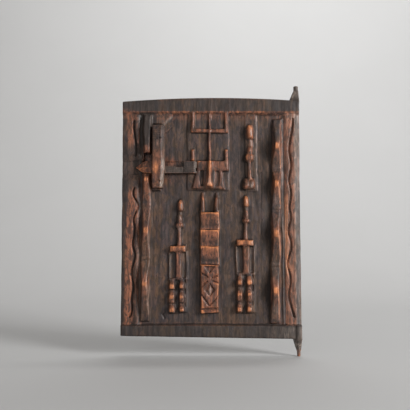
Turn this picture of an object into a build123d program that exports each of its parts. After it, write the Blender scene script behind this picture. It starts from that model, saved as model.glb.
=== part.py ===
from build123d import *
import math
import os

# A small granary door: one carved plank that turns on two pivots cut from its own
# hinge side, with a wooden pin-tumbler lock nailed to its face.
#
# Origin: on the pivot axis, at the foot of the lower pivot's round journal.
# +Z runs up the door, +X points out of the hinge side, the carved face looks along -Y.
# Sizes are millimetres. The "field" is the flat ground of the carved face, and a relief's
# height is how far it stands out from that field towards the viewer.

# ---- plank ---------------------------------------------------------------------------
leaf_width = 196.0
leaf_height = 261.0  # at the hinge side
field_thickness = 13.0
rail_proud = 4.0  # rails stand out this far from the field
head_slope = 3.2  # the field climbs to the top rail over this height
foot_slope = 0.9
top_rail_height = 13.0
bottom_rail_height = 14.6
foot_rise = 3.2  # the lower edge climbs this much towards the lock side
head_crown = 2.6  # the upper edge bows up this much
head_crown_from_lock = 62.0
head_fall = 1.0  # the upper edge drops this much at the lock side
worn_arris = 1.2  # softening of the plank's outer corners
root = 2.0  # how far a relief's solid starts inside the plank

# ---- pivots --------------------------------------------------------------------------
pivot_inset = 2.7  # hinge edge to pivot axis
journal_length = 5.0
lower_journal_radius = 2.0
upper_journal_radius = 2.6
journal_dome = 0.6
lower_horn_height = 13.7
upper_horn_height = 12.6
horn_shoulder = 0.1  # the horn is this much wider than its journal, each side
lower_horn_width = 8.6
lower_horn_knee = 7.6  # the lower horn's steep part stops this far below the plank
lower_horn_knee_width = 6.6
lower_horn_facet = 3.2  # the horns' inner front corners are cut off this far
upper_horn_width = 11.4
upper_horn_facet = 1.4
rib_width = 6.0  # the lower pivot runs on up the rail as a rib
rib_proud = 1.5

# ---- borders and wave grooves ---------------------------------------------------------
border_crown = 2.4
border_edge = 0.8  # what is left of the border's height at the plank's edge
border_slope = 6.0  # width of its worn outer slope
lock_border_width = 16.4
hinge_border_width = 14.4
lock_border_fall = 5.0  # the border falls away to the field over this width
hinge_border_fall = 4.2
groove_width = 2.2
groove_depth = 2.4
# heights above the bottom rail and distances in from the plank's edge
lock_wave_upper = [(183.4, 14.2), (191.2, 15.2), (202.4, 14.4), (215.8, 12.4), (224.8, 12.8)]
lock_wave_lower = [
    (8.1, 9.1), (18.8, 12.0), (27.3, 11.3), (41.3, 13.4), (58.5, 11.2), (72.6, 14.7),
    (88.8, 12.4), (104.1, 14.5), (115.0, 12.9), (130.9, 17.3), (139.2, 13.8), (150.2, 14.0),
]
hinge_wave = [
    (8.1, 8.0), (15.6, 9.6), (32.7, 13.7), (48.8, 11.4), (66.1, 14.4), (88.3, 10.9),
    (100.8, 14.0), (116.1, 11.0), (124.9, 12.1), (142.5, 10.0), (160.1, 12.3), (175.6, 9.6),
    (189.0, 11.6), (208.0, 9.2), (227.0, 7.1),
]

# ---- ridges of peaks ------------------------------------------------------------------
peak_height = 10.0
peak_width = 5.0
peak_flat = 3.0
valley_height = 2.6
valley_width = 9.4
valley_band = 2.6
valley_step = 0.9  # the band in a valley stands this much above it
ridge_foot_width = 11.2
ridge_end_width = 7.4
ridge_end_height = 2.2
lock_ridge_low, lock_ridge_high = 26.0, 28.0  # centre line in from the lock edge, foot and head
lock_ridge_peaks = (44.8, 102.8, 158.0, 192.0)
lock_ridge_valleys = (72.6, 130.3, 175.0)
lock_ridge_ends = (4.5, 3.6)  # gaps to the bottom and top rails
lock_ridge_head_height = 5.6
hinge_ridge_low, hinge_ridge_high = 29.2, 24.6
hinge_ridge_peaks = (38.0, 99.0, 153.2, 195.0)
hinge_ridge_valleys = (65.0, 126.9, 170.9)
hinge_ridge_ends = (2.6, 7.0)
hinge_ridge_head_height = 2.2
bead_width = 1.4  # thin bead between the hinge ridge and its border
bead_height = 1.2
bead_in = 19.6

# ---- lock -----------------------------------------------------------------------------
case_in = 40.6  # lock edge to the middle of the case
case_below_rail = 15.8
case_width = 13.8
case_height = 69.0
case_foot_height = 10.0  # how far the case stands out at its foot, swell, neck and head
case_swell_height = 15.6
case_neck_height = 12.0
case_head_height = 9.6
case_chamfer = 3.8  # wide worn facet along the right arris
case_foot_inset = 2.0  # the case narrows this much on its right towards the foot
case_left_chamfer = 1.2
bolt_below_head = 52.6  # top of the case to the underside of the bolt
shank_height = 7.9
shank_thickness = 6.5
shoulder_rise = 5.6  # head and tail stand this much above the shank
head_length = 18.0
head_crest = 1.5  # the leaf head's middle swells out this much
tail_length = 14.3
tail_facet = 3.0
bolt_throw = 20.3
shank_step = 0.8  # slight step in the shank's worn top edge
running_gap = 0.3
track_depth = 0.8  # the bolt's bed is cut this far into the field
track_flare = 11.0  # how far the bed's ends sweep up the border
pocket_width = 8.8
pocket_height = 9.0
pocket_depth = 3.0
lintel_height = 2.0
lintel_reach_left = 18.0  # from the middle of the case
lintel_reach_right = 14.0
lintel_drop = 12.6
rest_height = 3.0
rest_depth = 2.0
tumbler_spacing = 5.2
tumbler_radius = 1.1
tumbler_head_radius = 1.8
tumbler_head_height = 2.0
tumbler_drop = 4.0  # how far a tumbler falls into the thrown bolt
tumbler_spare = 1.5  # further lift left above it
tumbler_play = 0.15
tumbler_seat = 0.05
web = 4.0  # wood between the bolt's channel and the tumbler chamber
keyway_height = 3.4
keyway_width = 3.0
keyway_roof = 2.0
nail_radius = 0.9
nail_play = 0.02
nail_sunk = 1.4
nail_bite = 7.0  # depth driven into the plank
nail_point = 2.0
upper_nail_below_head = 14.4
lower_nail_above_foot = 7.0
nail_right = 1.4  # nails stand right of the case's middle

# ---- middle motifs --------------------------------------------------------------------
column_in = 99.6  # hinge edge to the middle of the column
column_width = 21.8
column_foot_above_rail = 13.6
diamond_panel_height = 51.0
diamond_panel_proud = 6.4
shingle_heights = (18.8, 17.4, 17.6)  # from the lowest up
shingle_gap = 1.3
shingle_low = 4.8
shingle_high = 7.8
horn_pair_height = 22.0
horn_pair_spacing = 15.4
horn_pair_width = 6.4
horn_pair_proud = 6.0
column_draft = 1.7  # each side of the column leans in this much
carved_groove = 2.6
carved_depth = 2.8
eye_depth = 3.0
eye_draft = 1.2
pupil_crest = 0.8
triangle_depth = 1.5
foot_line_width = 3.4

cross_ground_height = 1.2
cross_ground_width = 45.4
cross_ground_drop = 86.4
cross_ground_shift = -1.8  # its middle lies left of the column
bar_width = 3.8
bar_proud = 4.4
bar_softening = 0.9
middle_bar_proud = 6.2
upper_bar_below_rail = 21.2
upper_bar_height = 4.6
lower_bar_below_rail = 54.2
lower_bar_height = 11.0
lower_bar_groove = 6.2  # a groove runs along it, this far below its top
arm_spread = 37.4
stub_height = 12.8
mask_height = 31.0
mask_top_width = 27.6
mask_foot_width = 36.0
mask_foot_shift = -1.5
mask_proud = 3.8
mask_eye_width = 4.4
mask_eye_floor = 2.2
mask_foot_bar = 3.2
nose_width = 12.4
nose_proud = 9.6
nose_length = 29.6

# ---- figures --------------------------------------------------------------------------
left_figure_in = 134.1  # hinge edge to the middle of each figure's base
right_figure_in = 60.9
upper_figure_in = 56.6
left_figure_lean = 3.1  # head stands this far to the right of the base
right_figure_lean = 1.5
upper_figure_lean = 2.2
left_figure_below_rail = 97.0
right_figure_below_rail = 92.6
upper_figure_below_rail = 14.0
figure_head_length = 12.4
figure_head_radius = 3.9
figure_neck_radius = 2.5
figure_neck_length = 3.4
figure_chest_length = 9.8
figure_chest_radius = 3.4
figure_head_proud = 6.4
figure_chest_proud = 5.2
figure_neck_proud = 3.0
round_flats = 6  # flats left round a head or chest
shoulder_width = 9.8
shoulder_length = 5.2
torso_width = 6.0
left_torso_length = 20.4
right_torso_length = 18.0
torso_proud = 4.6
shoulder_proud = 5.2
stool_bar_width = 17.2
stool_bar_height = 6.6
stool_bar_proud = 7.2
stool_width = 21.4
left_stool_height = 28.9
right_stool_height = 30.0
stool_ground = 0.7
leg_ground = 0.7
stool_side_width = 2.4
stool_side_proud = 2.6
seat_height = 1.8
seat_proud = 2.8
stool_post_width = 8.4
stool_post_proud = 5.0
leg_width = 8.3
stool_post_shift = 0.8
leg_spacing = 10.8
leg_shift = -1.1
leg_proud = 7.2
leg_waist = 3.4
leg_foot_above_rail = 13.6
upper_head_length = 15.6
upper_head_radius = 4.6
upper_head_proud = 7.0
upper_neck_radius = 3.1
upper_neck_length = 8.4
upper_chest_length = 8.4
upper_chest_radius = 3.5
upper_shoulder_width = 11.0
upper_shoulder_length = 8.4
upper_torso_width = 6.2
upper_torso_length = 18.8
upper_base_width = 13.4
upper_base_height = 12.0
upper_base_proud = 6.0
upper_ground_width = 12.4
upper_ground_shift = 3.0

# ---- places worked out from the sizes --------------------------------------------------
hinge_x = pivot_inset
lock_x = hinge_x - leaf_width
foot_z = journal_length + lower_horn_height
head_z = foot_z + leaf_height
bottom_rail_z = foot_z + bottom_rail_height
top_rail_z = head_z - top_rail_height
back_y = (field_thickness + rail_proud) / 2
field_front = field_thickness - back_y
upper_journal_z = head_z + upper_horn_height

column_x = hinge_x - column_in
case_x = lock_x + case_in
case_head_z = top_rail_z - case_below_rail
case_foot_z = case_head_z - case_height
bolt_z = case_head_z - bolt_below_head  # underside of the bolt
bolt_back = running_gap - track_depth
shank_top_z = bolt_z + shank_height
bolt_head_z = shank_top_z + shoulder_rise
head_shoulder_x = case_x - case_width / 2 - running_gap
tail_shoulder_x = case_x + case_width / 2 + running_gap + bolt_throw
tail_end_x = tail_shoulder_x + tail_length
bolt_middle = bolt_back + shank_thickness / 2


def field(height=0.0):
    """Plane of the carved face, `height` out from the field."""
    return Plane.XZ.offset(field_front + height)


def outline(*points):
    """Closed front-view outline of straight cuts."""
    return make_face(Polyline(*points, close=True))


def raised(face, top, bottom=-root):
    """Carry a front-view outline out to its height."""
    return extrude(field(bottom) * face, amount=top - bottom, dir=(0, -1, 0))


def block(x0, x1, z0, z1, top, bottom=-root):
    """Rectangular relief between two x and two z places."""
    return raised(outline((x0, z0), (x1, z0), (x1, z1), (x0, z1)), top, bottom)


def softened(solid, amount):
    """Knock the corners off a relief's front."""
    front = solid.faces().sort_by(Axis.Y)[0]
    return chamfer(front.edges(), amount)


def bar(x, z0, z1, width=bar_width, proud=bar_proud):
    """Upright bar with softened arrises."""
    return softened(block(x - width / 2, x + width / 2, z0, z1, proud), bar_softening)


def across(points, x0, x1):
    """Side-view outline of (height, z) points carried across the door from x0 to x1."""
    side = make_face(Polyline(*[(-field_front - h, z) for h, z in points], close=True))
    return extrude(Plane.YZ.offset(x0) * side, amount=x1 - x0, dir=(1, 0, 0))


def strip(stations):
    """Faceted strip through (z, middle x, foot width, crest width, height) stations."""
    sections = []
    for z, x, foot, crest, height in stations:
        plan = Polyline(
            (x - foot / 2, -field_front + root),
            (x + foot / 2, -field_front + root),
            (x + foot / 2, -field_front),
            (x + crest / 2, -field_front - height),
            (x - crest / 2, -field_front - height),
            (x - foot / 2, -field_front),
            close=True,
        )
        sections.append(Plane.XY.offset(z) * make_face(plan))
    return loft(sections, ruled=True)


def whittled(x, stations):
    """Round form left in narrow flats, through (z, half width, height) stations."""
    sections = []
    for z, half, height in stations:
        ring = [(x - half, -field_front + root), (x + half, -field_front + root)]
        for step in range(round_flats + 1):
            angle = math.pi * step / round_flats
            ring.append((
                x + half * math.cos(angle), -field_front - height * math.sin(angle)))
        sections.append(Plane.XY.offset(z) * make_face(Polyline(*ring, close=True)))
    return loft(sections, ruled=True)


def egg(x, z0, z1, half, height):
    """Whittled acorn, as in a head: fullest near its chin, with a narrow crown."""
    shape = ((0.0, 0.72), (0.12, 0.94), (0.34, 1.0), (0.64, 0.96), (0.88, 0.74), (1.0, 0.46))
    return whittled(
        x, [(z0 + (z1 - z0) * at, half * full, height * full) for at, full in shape])


def scored(p0, p1, top, width=carved_groove, depth=carved_depth):
    """Straight V-cut between two front-view points, in a face `top` above the field."""
    start, end = Vector(*p0), Vector(*p1)
    along = (end - start).normalized()
    side = Vector(-along.Y, along.X)
    mouth, bottom = top + 0.5, top - depth
    sections = []
    for point in (start, end):
        inner = [point + side * width / 2, point - side * width / 2]
        corners = [Vector(p.X, -field_front - mouth, p.Y) for p in inner]
        corners.append(Vector(point.X, -field_front - bottom, point.Y))
        sections.append(make_face(Polyline(*corners, close=True)))
    return loft(sections, ruled=True)


def plank():
    """The board with its rails, before any carving of the field."""
    rim = [
        Line((lock_x, foot_z + foot_rise), (hinge_x, foot_z)),
        Line((hinge_x, foot_z), (hinge_x, head_z)),
        Spline(
            (hinge_x, head_z),
            (lock_x + head_crown_from_lock, head_z + head_crown),
            (lock_x, head_z - head_fall),
        ),
        Line((lock_x, head_z - head_fall), (lock_x, foot_z + foot_rise)),
    ]
    board = raised(make_face(rim), rail_proud, -field_thickness)
    faces = board.faces().sort_by(Axis.Y)
    board = chamfer(faces[0].edges() + faces[-1].edges(), worn_arris)
    sunk = [
        (0, bottom_rail_z + foot_slope), (0, top_rail_z - head_slope),
        (rail_proud, top_rail_z), (rail_proud + 1, top_rail_z),
        (rail_proud + 1, bottom_rail_z), (rail_proud, bottom_rail_z),
    ]
    return board - across(sunk, lock_x - 1, hinge_x + 1)


def horn(stations):
    """Tapered horn through (z, left, right, front, back, facet) stations."""
    sections = []
    for z, left, right, front, back, facet in stations:
        plan = Polyline(
            (left, back), (right, back), (right, front), (left + facet, front),
            (left, front + facet * 1.3), close=True,
        )
        sections.append(Plane.XY.offset(z) * make_face(plan))
    return loft(sections, ruled=True)


def horns():
    """Tapered pivots with round journals, cut from the ends of the hinge side."""
    low = lower_journal_radius + horn_shoulder
    high = upper_journal_radius + horn_shoulder
    rail_front = -field_front - rail_proud
    rib_front = rail_front - rib_proud
    horn_back = back_y - worn_arris
    knee_z = foot_z - lower_horn_knee
    inside = worn_arris + root
    lower_left = hinge_x - lower_horn_width
    upper_left = hinge_x - upper_horn_width
    lower = horn([
        (journal_length, -low, low, -low, low, 0.3),
        (knee_z, hinge_x - lower_horn_knee_width, hinge_x - 0.4, rail_front * 0.72,
         horn_back * 0.7, lower_horn_facet * 0.7),
        (foot_z, lower_left, hinge_x - 0.2, rib_front, horn_back, lower_horn_facet),
        (foot_z + inside, lower_left, hinge_x - 0.2, rib_front, horn_back, lower_horn_facet),
    ])
    upper = horn([
        (head_z - inside, upper_left, hinge_x, rail_front, horn_back, upper_horn_facet),
        (head_z - worn_arris, upper_left, hinge_x, rail_front, horn_back, upper_horn_facet),
        (upper_journal_z, -high, high, -high, high, 0.4),
    ])
    parts = [lower, upper]
    ends = (
        (lower_journal_radius, 0.0, -1),
        (upper_journal_radius, upper_journal_z, 1),
    )
    for radius, z, sign in ends:
        shaft = Pos(0, 0, z - journal_dome if sign < 0 else z) * Cylinder(
            radius, journal_length + journal_dome,
            align=(Align.CENTER, Align.CENTER, Align.MIN),
        )
        tip = shaft.faces().sort_by(Axis.Z)[0 if sign < 0 else -1]
        parts.append(chamfer(tip.edges(), journal_dome))
    rib = softened(
        block(hinge_x - rib_width, hinge_x - 0.2, foot_z + worn_arris, bottom_rail_z,
              rail_proud + rib_proud, 0),
        rib_proud * 0.6,
    )
    parts.append(rib)
    return parts


def border(edge_x, inward, width, fall):
    """Border strip with a worn outer slope, falling away to the field beside it."""
    def across_x(distance):
        return edge_x + inward * distance

    plan = Polyline(
        (across_x(0), -field_front + root),
        (across_x(0), -field_front - border_edge),
        (across_x(border_slope), -field_front - border_crown),
        (across_x(width), -field_front - border_crown * 0.9),
        (across_x(width + fall), -field_front),
        (across_x(width + fall), -field_front + root),
        close=True,
    )
    return extrude(
        Plane.XY.offset(bottom_rail_z - root) * make_face(plan),
        amount=top_rail_z - bottom_rail_z + 2 * root, dir=(0, 0, 1),
    )


def wave(edge_x, inward, points):
    """Wavy groove along a border's inner side."""
    near = [(edge_x + inward * (d - groove_width / 2), bottom_rail_z + z) for z, d in points]
    far = [(edge_x + inward * (d + groove_width / 2), bottom_rail_z + z) for z, d in points]
    face = make_face([
        Spline(*near), Line(near[-1], far[-1]), Spline(*reversed(far)), Line(far[0], near[0]),
    ])
    return raised(face, border_crown + 1, border_crown - groove_depth)


def ridge(edge_x, inward, low_in, high_in, peaks, valleys, ends, head_height):
    """Row of peaks: narrow worn crests that fall and widen to banded valleys."""
    run = top_rail_z - bottom_rail_z

    def station(z, crest, height):
        lean = low_in + (high_in - low_in) * z / run
        return (bottom_rail_z + z, edge_x + inward * lean, ridge_foot_width, crest, height)

    stations = [station(ends[0], valley_width, ridge_end_height)]
    for index, peak in enumerate(peaks):
        stations.append(station(peak - peak_flat / 2, peak_width, peak_height))
        stations.append(station(peak + peak_flat / 2, peak_width, peak_height))
        if index < len(valleys):
            valley = valleys[index]
            for at, step in ((-0.8, 0), (-0.5, 1), (0.5, 1), (0.8, 0)):
                stations.append(station(
                    valley + at * valley_band, valley_width, valley_height + step * valley_step))
    stations.append(station(run - ends[1], ridge_end_width, head_height))
    return strip(stations)


def bolt_track():
    """Bed that lets the bolt slide across the field, the ridge and the border."""
    low, high = bolt_z - running_gap, bolt_head_z + running_gap
    bed = block(lock_x - 1, tail_end_x + running_gap, low, high, peak_height + 1, -track_depth)
    sweep = [
        (-track_depth, low), (border_crown + 1, low - track_flare),
        (border_crown + 1, high + track_flare), (-track_depth, high),
    ]
    flare = across(sweep, lock_x - 1, lock_x + lock_border_width + lock_border_fall)
    pocket_x = lock_x + lock_ridge_low + ridge_foot_width / 2 + 0.6
    pocket = block(
        pocket_x - pocket_width, pocket_x, high - 1, high + pocket_height,
        peak_height + 1, -pocket_depth,
    )
    case_seat = block(
        case_x - case_width / 2 - running_gap, case_x + case_width / 2,
        case_foot_z, case_head_z, peak_height + 1, 0,
    )
    return [bed, flare, pocket, case_seat]


def lintel_and_rest():
    """Low block above the lock case and the small ledge under its foot."""
    z0 = top_rail_z - lintel_drop
    left, right = case_x - lintel_reach_left, case_x + lintel_reach_right
    cap = raised(
        outline((left, z0), (case_x + case_width * 0.3, z0), (right, z0 + lintel_drop * 0.7),
                (right, top_rail_z + root), (left, top_rail_z + root)),
        lintel_height,
    )
    rest = block(
        case_x - case_width / 2, case_x + case_width * 0.15,
        case_foot_z - rest_depth, case_foot_z, rest_height,
    )
    return [cap, rest]


def cross():
    """Raised ground with the barred cross above a long-nosed mask."""
    middle = column_x
    ground_x = middle + cross_ground_shift
    left, right = middle - arm_spread / 2, middle + arm_spread / 2
    upper_z = top_rail_z - upper_bar_below_rail
    lower_z = top_rail_z - lower_bar_below_rail
    mask_z = lower_z - mask_height
    parts = [block(
        ground_x - cross_ground_width / 2, ground_x + cross_ground_width / 2,
        top_rail_z - cross_ground_drop, top_rail_z + root, cross_ground_height,
    )]
    for x in (left, right):
        parts.append(bar(x, upper_z, top_rail_z + root))
        parts.append(bar(x, lower_z, lower_z + stub_height))
    crest = bar_width * 0.5
    parts.append(strip([
        (lower_z - root, middle, bar_width * 1.3, crest, middle_bar_proud),
        (upper_z, middle, bar_width * 1.15, crest, middle_bar_proud * 0.88),
        (upper_z + 9, middle, bar_width, crest, bar_proud * 0.9),
        (top_rail_z + root, middle, bar_width, crest, bar_proud * 0.7),
    ]))
    reach = bar_width / 2
    parts.append(softened(
        block(left - reach, right + reach, upper_z - upper_bar_height / 2,
              upper_z + upper_bar_height / 2, bar_proud),
        bar_softening,
    ))
    lower_bar = softened(
        block(tail_end_x + running_gap, right + reach, lower_z - lower_bar_height, lower_z,
              bar_proud),
        bar_softening,
    )
    groove_z = lower_z - lower_bar_groove
    parts.append(lower_bar - scored(
        (middle + nose_width / 2, groove_z), (right + reach + 1, groove_z), bar_proud,
        carved_groove * 0.7, carved_depth * 0.5))
    parts += mask(middle, mask_z, lower_z)
    return parts


def mask(middle, foot_z, top_z):
    """Flaring cheeks joined by a bar at their foot, with a long nose between them."""
    half_top, half_foot = mask_top_width / 2, mask_foot_width / 2
    foot_x = middle + mask_foot_shift
    face = softened(
        raised(
            outline((foot_x - half_foot, foot_z), (foot_x + half_foot, foot_z),
                    (middle + half_top, top_z - lower_bar_height),
                    (middle - half_top, top_z - lower_bar_height)),
            mask_proud,
        ),
        bar_softening,
    )
    for side in (-1, 1):
        x = middle + side * (nose_width / 2 + mask_eye_width / 2)
        face -= block(
            x - mask_eye_width / 2, x + mask_eye_width / 2,
            foot_z + mask_foot_bar, top_z - lower_bar_height + 1, mask_proud + 1,
            mask_eye_floor,
        )
    nose_top = foot_z + nose_length + 1
    nose = strip([
        (foot_z + 1, middle, nose_width * 0.8, nose_width * 0.42, nose_proud * 0.55),
        (foot_z + 3.6, middle, nose_width * 0.98, nose_width * 0.46, nose_proud),
        (foot_z + 8, middle, nose_width, nose_width * 0.18, nose_proud * 0.95),
        (foot_z + 17, middle, nose_width, nose_width * 0.1, nose_proud * 0.9),
        (nose_top - 7, middle, nose_width * 0.9, nose_width * 0.2, nose_proud * 0.97),
        (nose_top, middle, nose_width * 0.8, nose_width * 0.2, nose_proud * 0.82),
    ])
    return [face, nose]


def shingle(z0, height):
    """One lapped box of the column: proud along its top, falling to a thin lip."""
    crest = column_width - 2 * column_draft
    profile = (
        (0.0, shingle_low), (0.12, shingle_low - 0.4), (0.34, shingle_low + 0.8),
        (0.84, shingle_high - 0.5), (0.95, shingle_high), (1.0, shingle_high - 0.8),
    )
    return strip([
        (z0 + height * at, column_x, column_width, crest, proud) for at, proud in profile])


def diamond_panel(z0):
    """Foot of the column, cut with a diamond, a triangle and crossing lines."""
    left, right = column_x - column_width / 2, column_x + column_width / 2
    top, high = diamond_panel_proud, z0 + diamond_panel_height
    crest = column_width - 2 * column_draft
    slab = strip([
        (z0, column_x, column_width, crest, top), (high, column_x, column_width, crest, top)])
    waist = high - 10.6
    eye_low, eye_mid, eye_high = z0 + 17.0, z0 + 24.6, z0 + 32.6
    eye_half = column_width * 0.28
    diamonds = [
        outline((column_x, eye_low + inset), (column_x + half, eye_mid),
                (column_x, eye_high - inset), (column_x - half, eye_mid))
        for inset, half in (
            (0, eye_half), (eye_draft, eye_half - eye_draft), (2 * eye_draft, pupil_crest / 2))
    ]
    mouth, floor, crest_line = diamonds
    eye = loft([field(top + 0.1) * mouth, field(top - eye_depth) * floor], ruled=True)
    pupil = loft([field(top - eye_depth - 0.2) * floor, field(top - 0.3) * crest_line], ruled=True)
    triangle = raised(
        outline((column_x - 6.4, high - 1.0), (column_x + 6.6, high - 1.0),
                (column_x, waist + 2.0)),
        top + 1, top - triangle_depth,
    )
    foot_point = (column_x - 0.6, z0 + 7.6)
    cuts = [
        eye, triangle,
        scored((left - 0.5, waist + 3.2), (column_x - 1.6, waist - 2.0), top),
        scored((right + 0.5, waist + 0.6), (column_x + 2.2, waist - 2.0), top),
        scored((left - 0.5, eye_mid + 1.8), (column_x - 2.2, eye_high + 2.0), top),
        scored((right + 0.5, eye_mid + 6.2), (column_x + 2.4, eye_high + 2.6), top),
        scored((left - 0.5, eye_mid - 1.9), foot_point, top),
        scored((right + 0.5, eye_mid - 4.5), foot_point, top),
        scored((left - 0.5, z0 + 4.2), (right + 0.5, z0 + 4.2), top, foot_line_width),
    ]
    for cut in cuts:
        slab -= cut
    return slab + pupil


def column():
    """Lapped boxes standing on the diamond panel, with a pair of horns on top."""
    z = bottom_rail_z + column_foot_above_rail
    parts = [diamond_panel(z)]
    z += diamond_panel_height + shingle_gap
    for height in shingle_heights:
        parts.append(shingle(z, height))
        z += height + shingle_gap
    z -= shingle_gap
    half = column_width / 2 - 0.6
    parts.append(block(column_x - half, column_x + half, z - 60, z - 0.5, shingle_low - 1.6))
    for side in (-1, 1):
        x = column_x + side * horn_pair_spacing / 2
        parts.append(strip([
            (z - 1, x, horn_pair_width, horn_pair_width * 0.5, horn_pair_proud),
            (z + horn_pair_height * 0.6, x, horn_pair_width * 0.9, horn_pair_width * 0.4,
             horn_pair_proud * 0.9),
            (z + horn_pair_height, x, horn_pair_width * 0.6, horn_pair_width * 0.3, 1.6),
        ]))
    return parts


def upper_body(x, lean, top_z, head, neck, chest, shoulders, torso):
    """Head, neck, chest, shoulders and torso of a figure leaning over its base at x."""
    head_length, head_radius, head_proud = head
    neck_length, neck_radius = neck
    z = top_z - head_length
    parts = [egg(x + lean, z, top_z, head_radius, head_proud)]
    parts.append(whittled(x + lean * 0.85, [
        (z - neck_length - 0.6, neck_radius * 1.1, figure_neck_proud),
        (z + 1.0, neck_radius, figure_neck_proud),
    ]))
    z -= neck_length
    chest_length, chest_radius = chest
    parts.append(whittled(x + lean * 0.7, [
        (z - chest_length, chest_radius * 0.9, figure_chest_proud * 0.8),
        (z - chest_length * 0.7, chest_radius, figure_chest_proud),
        (z - chest_length * 0.15, chest_radius * 0.8, figure_chest_proud * 0.8),
        (z + 0.2, chest_radius * 0.6, figure_chest_proud * 0.5),
    ]))
    z -= chest_length
    shoulder_span, shoulder_drop = shoulders
    waist = shoulder_span * 0.6
    shoulder_x = x + lean * 0.55
    parts.append(strip([
        (z - shoulder_drop, shoulder_x, shoulder_span * 0.7, waist * 0.8, torso_proud * 0.8),
        (z - shoulder_drop * 0.75, shoulder_x, shoulder_span, waist, shoulder_proud),
        (z - shoulder_drop * 0.3, shoulder_x, shoulder_span, waist, shoulder_proud),
        (z + 0.6, shoulder_x, shoulder_span * 0.75, waist * 0.7, torso_proud * 0.7),
    ]))
    z -= shoulder_drop
    torso_span, torso_drop = torso
    torso_x = x + lean * 0.45
    parts.append(strip([
        (z - torso_drop - 1, torso_x, torso_span, torso_span * 0.55, torso_proud),
        (z - torso_drop * 0.4, torso_x, torso_span * 0.86, torso_span * 0.45,
         torso_proud * 0.85),
        (z + 1, torso_x, torso_span * 0.9, torso_span * 0.5, torso_proud * 0.8),
    ]))
    return parts, z - torso_drop


def leg(x, z_top, z_foot):
    """Leg of three stacked knops, each sloping out to its crest and cut in below it."""
    drop = z_top - z_foot

    def at(share, width, height):
        return (z_foot + drop * share, x, leg_width * width, leg_width * width * 0.55,
                leg_proud * height)

    waist = leg_waist / leg_proud
    return strip([
        at(0.0, 0.95, 0.6), at(0.05, 1.0, 1.0), at(0.12, 1.0, 0.95), at(0.245, 0.84, waist),
        at(0.275, 0.84, waist), at(0.31, 0.94, 0.72), at(0.47, 1.0, 1.0),
        at(0.52, 0.98, 0.92), at(0.635, 0.84, waist), at(0.685, 0.84, waist),
        at(0.73, 0.96, 0.9), at(0.79, 1.0, 1.0), at(0.84, 0.98, 0.92),
        at(1.0, 0.84, waist * 0.6),
    ])


def seated_figure(x, lean, top_z, torso_length, stool_height):
    """Figure on a stool, its two legs standing below."""
    parts, z = upper_body(
        x, lean, top_z,
        (figure_head_length, figure_head_radius, figure_head_proud),
        (figure_neck_length, figure_neck_radius), (figure_chest_length, figure_chest_radius),
        (shoulder_width, shoulder_length), (torso_width, torso_length),
    )
    parts.append(softened(
        block(x - stool_bar_width / 2, x + stool_bar_width / 2, z - stool_bar_height, z,
              stool_bar_proud),
        1.4,
    ))
    z -= stool_bar_height
    stool_foot = z - stool_height
    leg_foot = bottom_rail_z + leg_foot_above_rail
    parts.append(block(
        x - stool_width / 2, x + stool_width / 2, stool_foot, z + 1, stool_ground))
    parts.append(block(
        x - stool_width / 2, x + stool_width / 2, leg_foot, stool_foot + 1, leg_ground))
    side_foot, side_crest = stool_side_width, stool_side_width * 0.5
    for side, low_z in ((-1, stool_foot), (1, leg_foot)):
        edge_x = x + side * (stool_width - stool_side_width) / 2
        parts.append(strip([
            (low_z, edge_x, side_foot, side_crest, stool_side_proud * 0.5),
            (stool_foot + 3, edge_x, side_foot, side_crest, stool_side_proud),
            (z + 1, edge_x, side_foot, side_crest, stool_side_proud * 0.8),
        ]))
    parts.append(block(
        x - stool_width / 2, x + stool_width / 2, stool_foot - seat_height / 2,
        stool_foot + seat_height / 2, seat_proud))
    post_x = x + stool_post_shift
    post = stool_post_width
    parts.append(strip([
        (stool_foot, post_x, post * 1.2, post * 0.8, stool_post_proud * 0.6),
        (stool_foot + 5, post_x, post, post * 0.6, stool_post_proud * 0.9),
        (z + 1, post_x, post, post * 0.66, stool_post_proud),
    ]))
    for side in (-1, 1):
        leg_x = x + leg_shift + side * leg_spacing / 2
        parts.append(leg(leg_x, stool_foot - seat_height / 2 + 0.3, leg_foot))
    return parts


def standing_figure(x, lean, top_z):
    """Larger half figure on a two-lobed base, with its own strip of raised ground."""
    parts, z = upper_body(
        x, lean, top_z,
        (upper_head_length, upper_head_radius, upper_head_proud),
        (upper_neck_length, upper_neck_radius), (upper_chest_length, upper_chest_radius),
        (upper_shoulder_width, upper_shoulder_length), (upper_torso_width, upper_torso_length),
    )
    base_foot = z - upper_base_height
    lobe = upper_base_width / 4
    for side in (-1, 1):
        parts.append(whittled(x + side * lobe * 0.8, [
            (base_foot, lobe * 1.1, upper_base_proud * 0.6),
            (base_foot + 3.0, lobe * 1.35, upper_base_proud),
            (z - 3.0, lobe * 1.35, upper_base_proud * 0.9),
            (z, lobe * 1.1, upper_base_proud * 0.5),
        ]))
    ground_x = x + upper_ground_shift
    parts.append(block(
        ground_x - upper_ground_width / 2, ground_x + upper_ground_width / 2,
        base_foot - root, top_rail_z + root, 1.0,
    ))
    return parts


def nail_places():
    """(x, z, height of the case's front) of the two nails that hold the case."""
    x = case_x + nail_right
    return [
        (x, case_head_z - upper_nail_below_head, case_height_at(
            case_height - upper_nail_below_head)),
        (x, case_foot_z + lower_nail_above_foot, case_height_at(lower_nail_above_foot)),
    ]


def case_stations():
    """Heights of the case's front, from its foot up."""
    swell = bolt_z + shank_height / 2 - case_foot_z
    return [
        (0.0, case_foot_height),
        (swell * 0.45, (case_foot_height + case_swell_height) / 2 + 0.8),
        (swell, case_swell_height),
        (swell + 9.0, case_swell_height - 0.8),
        (swell + 22.0, case_neck_height),
        (case_height - 6.0, case_neck_height - 1.0),
        (case_height, case_head_height),
    ]


def case_right_at(z):
    """Right side of the case, z above its foot: straight above the bolt, inset below it."""
    below = max(0.0, 1.0 - z / (bolt_z - running_gap - case_foot_z))
    return case_x + case_width / 2 - case_foot_inset * below


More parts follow.
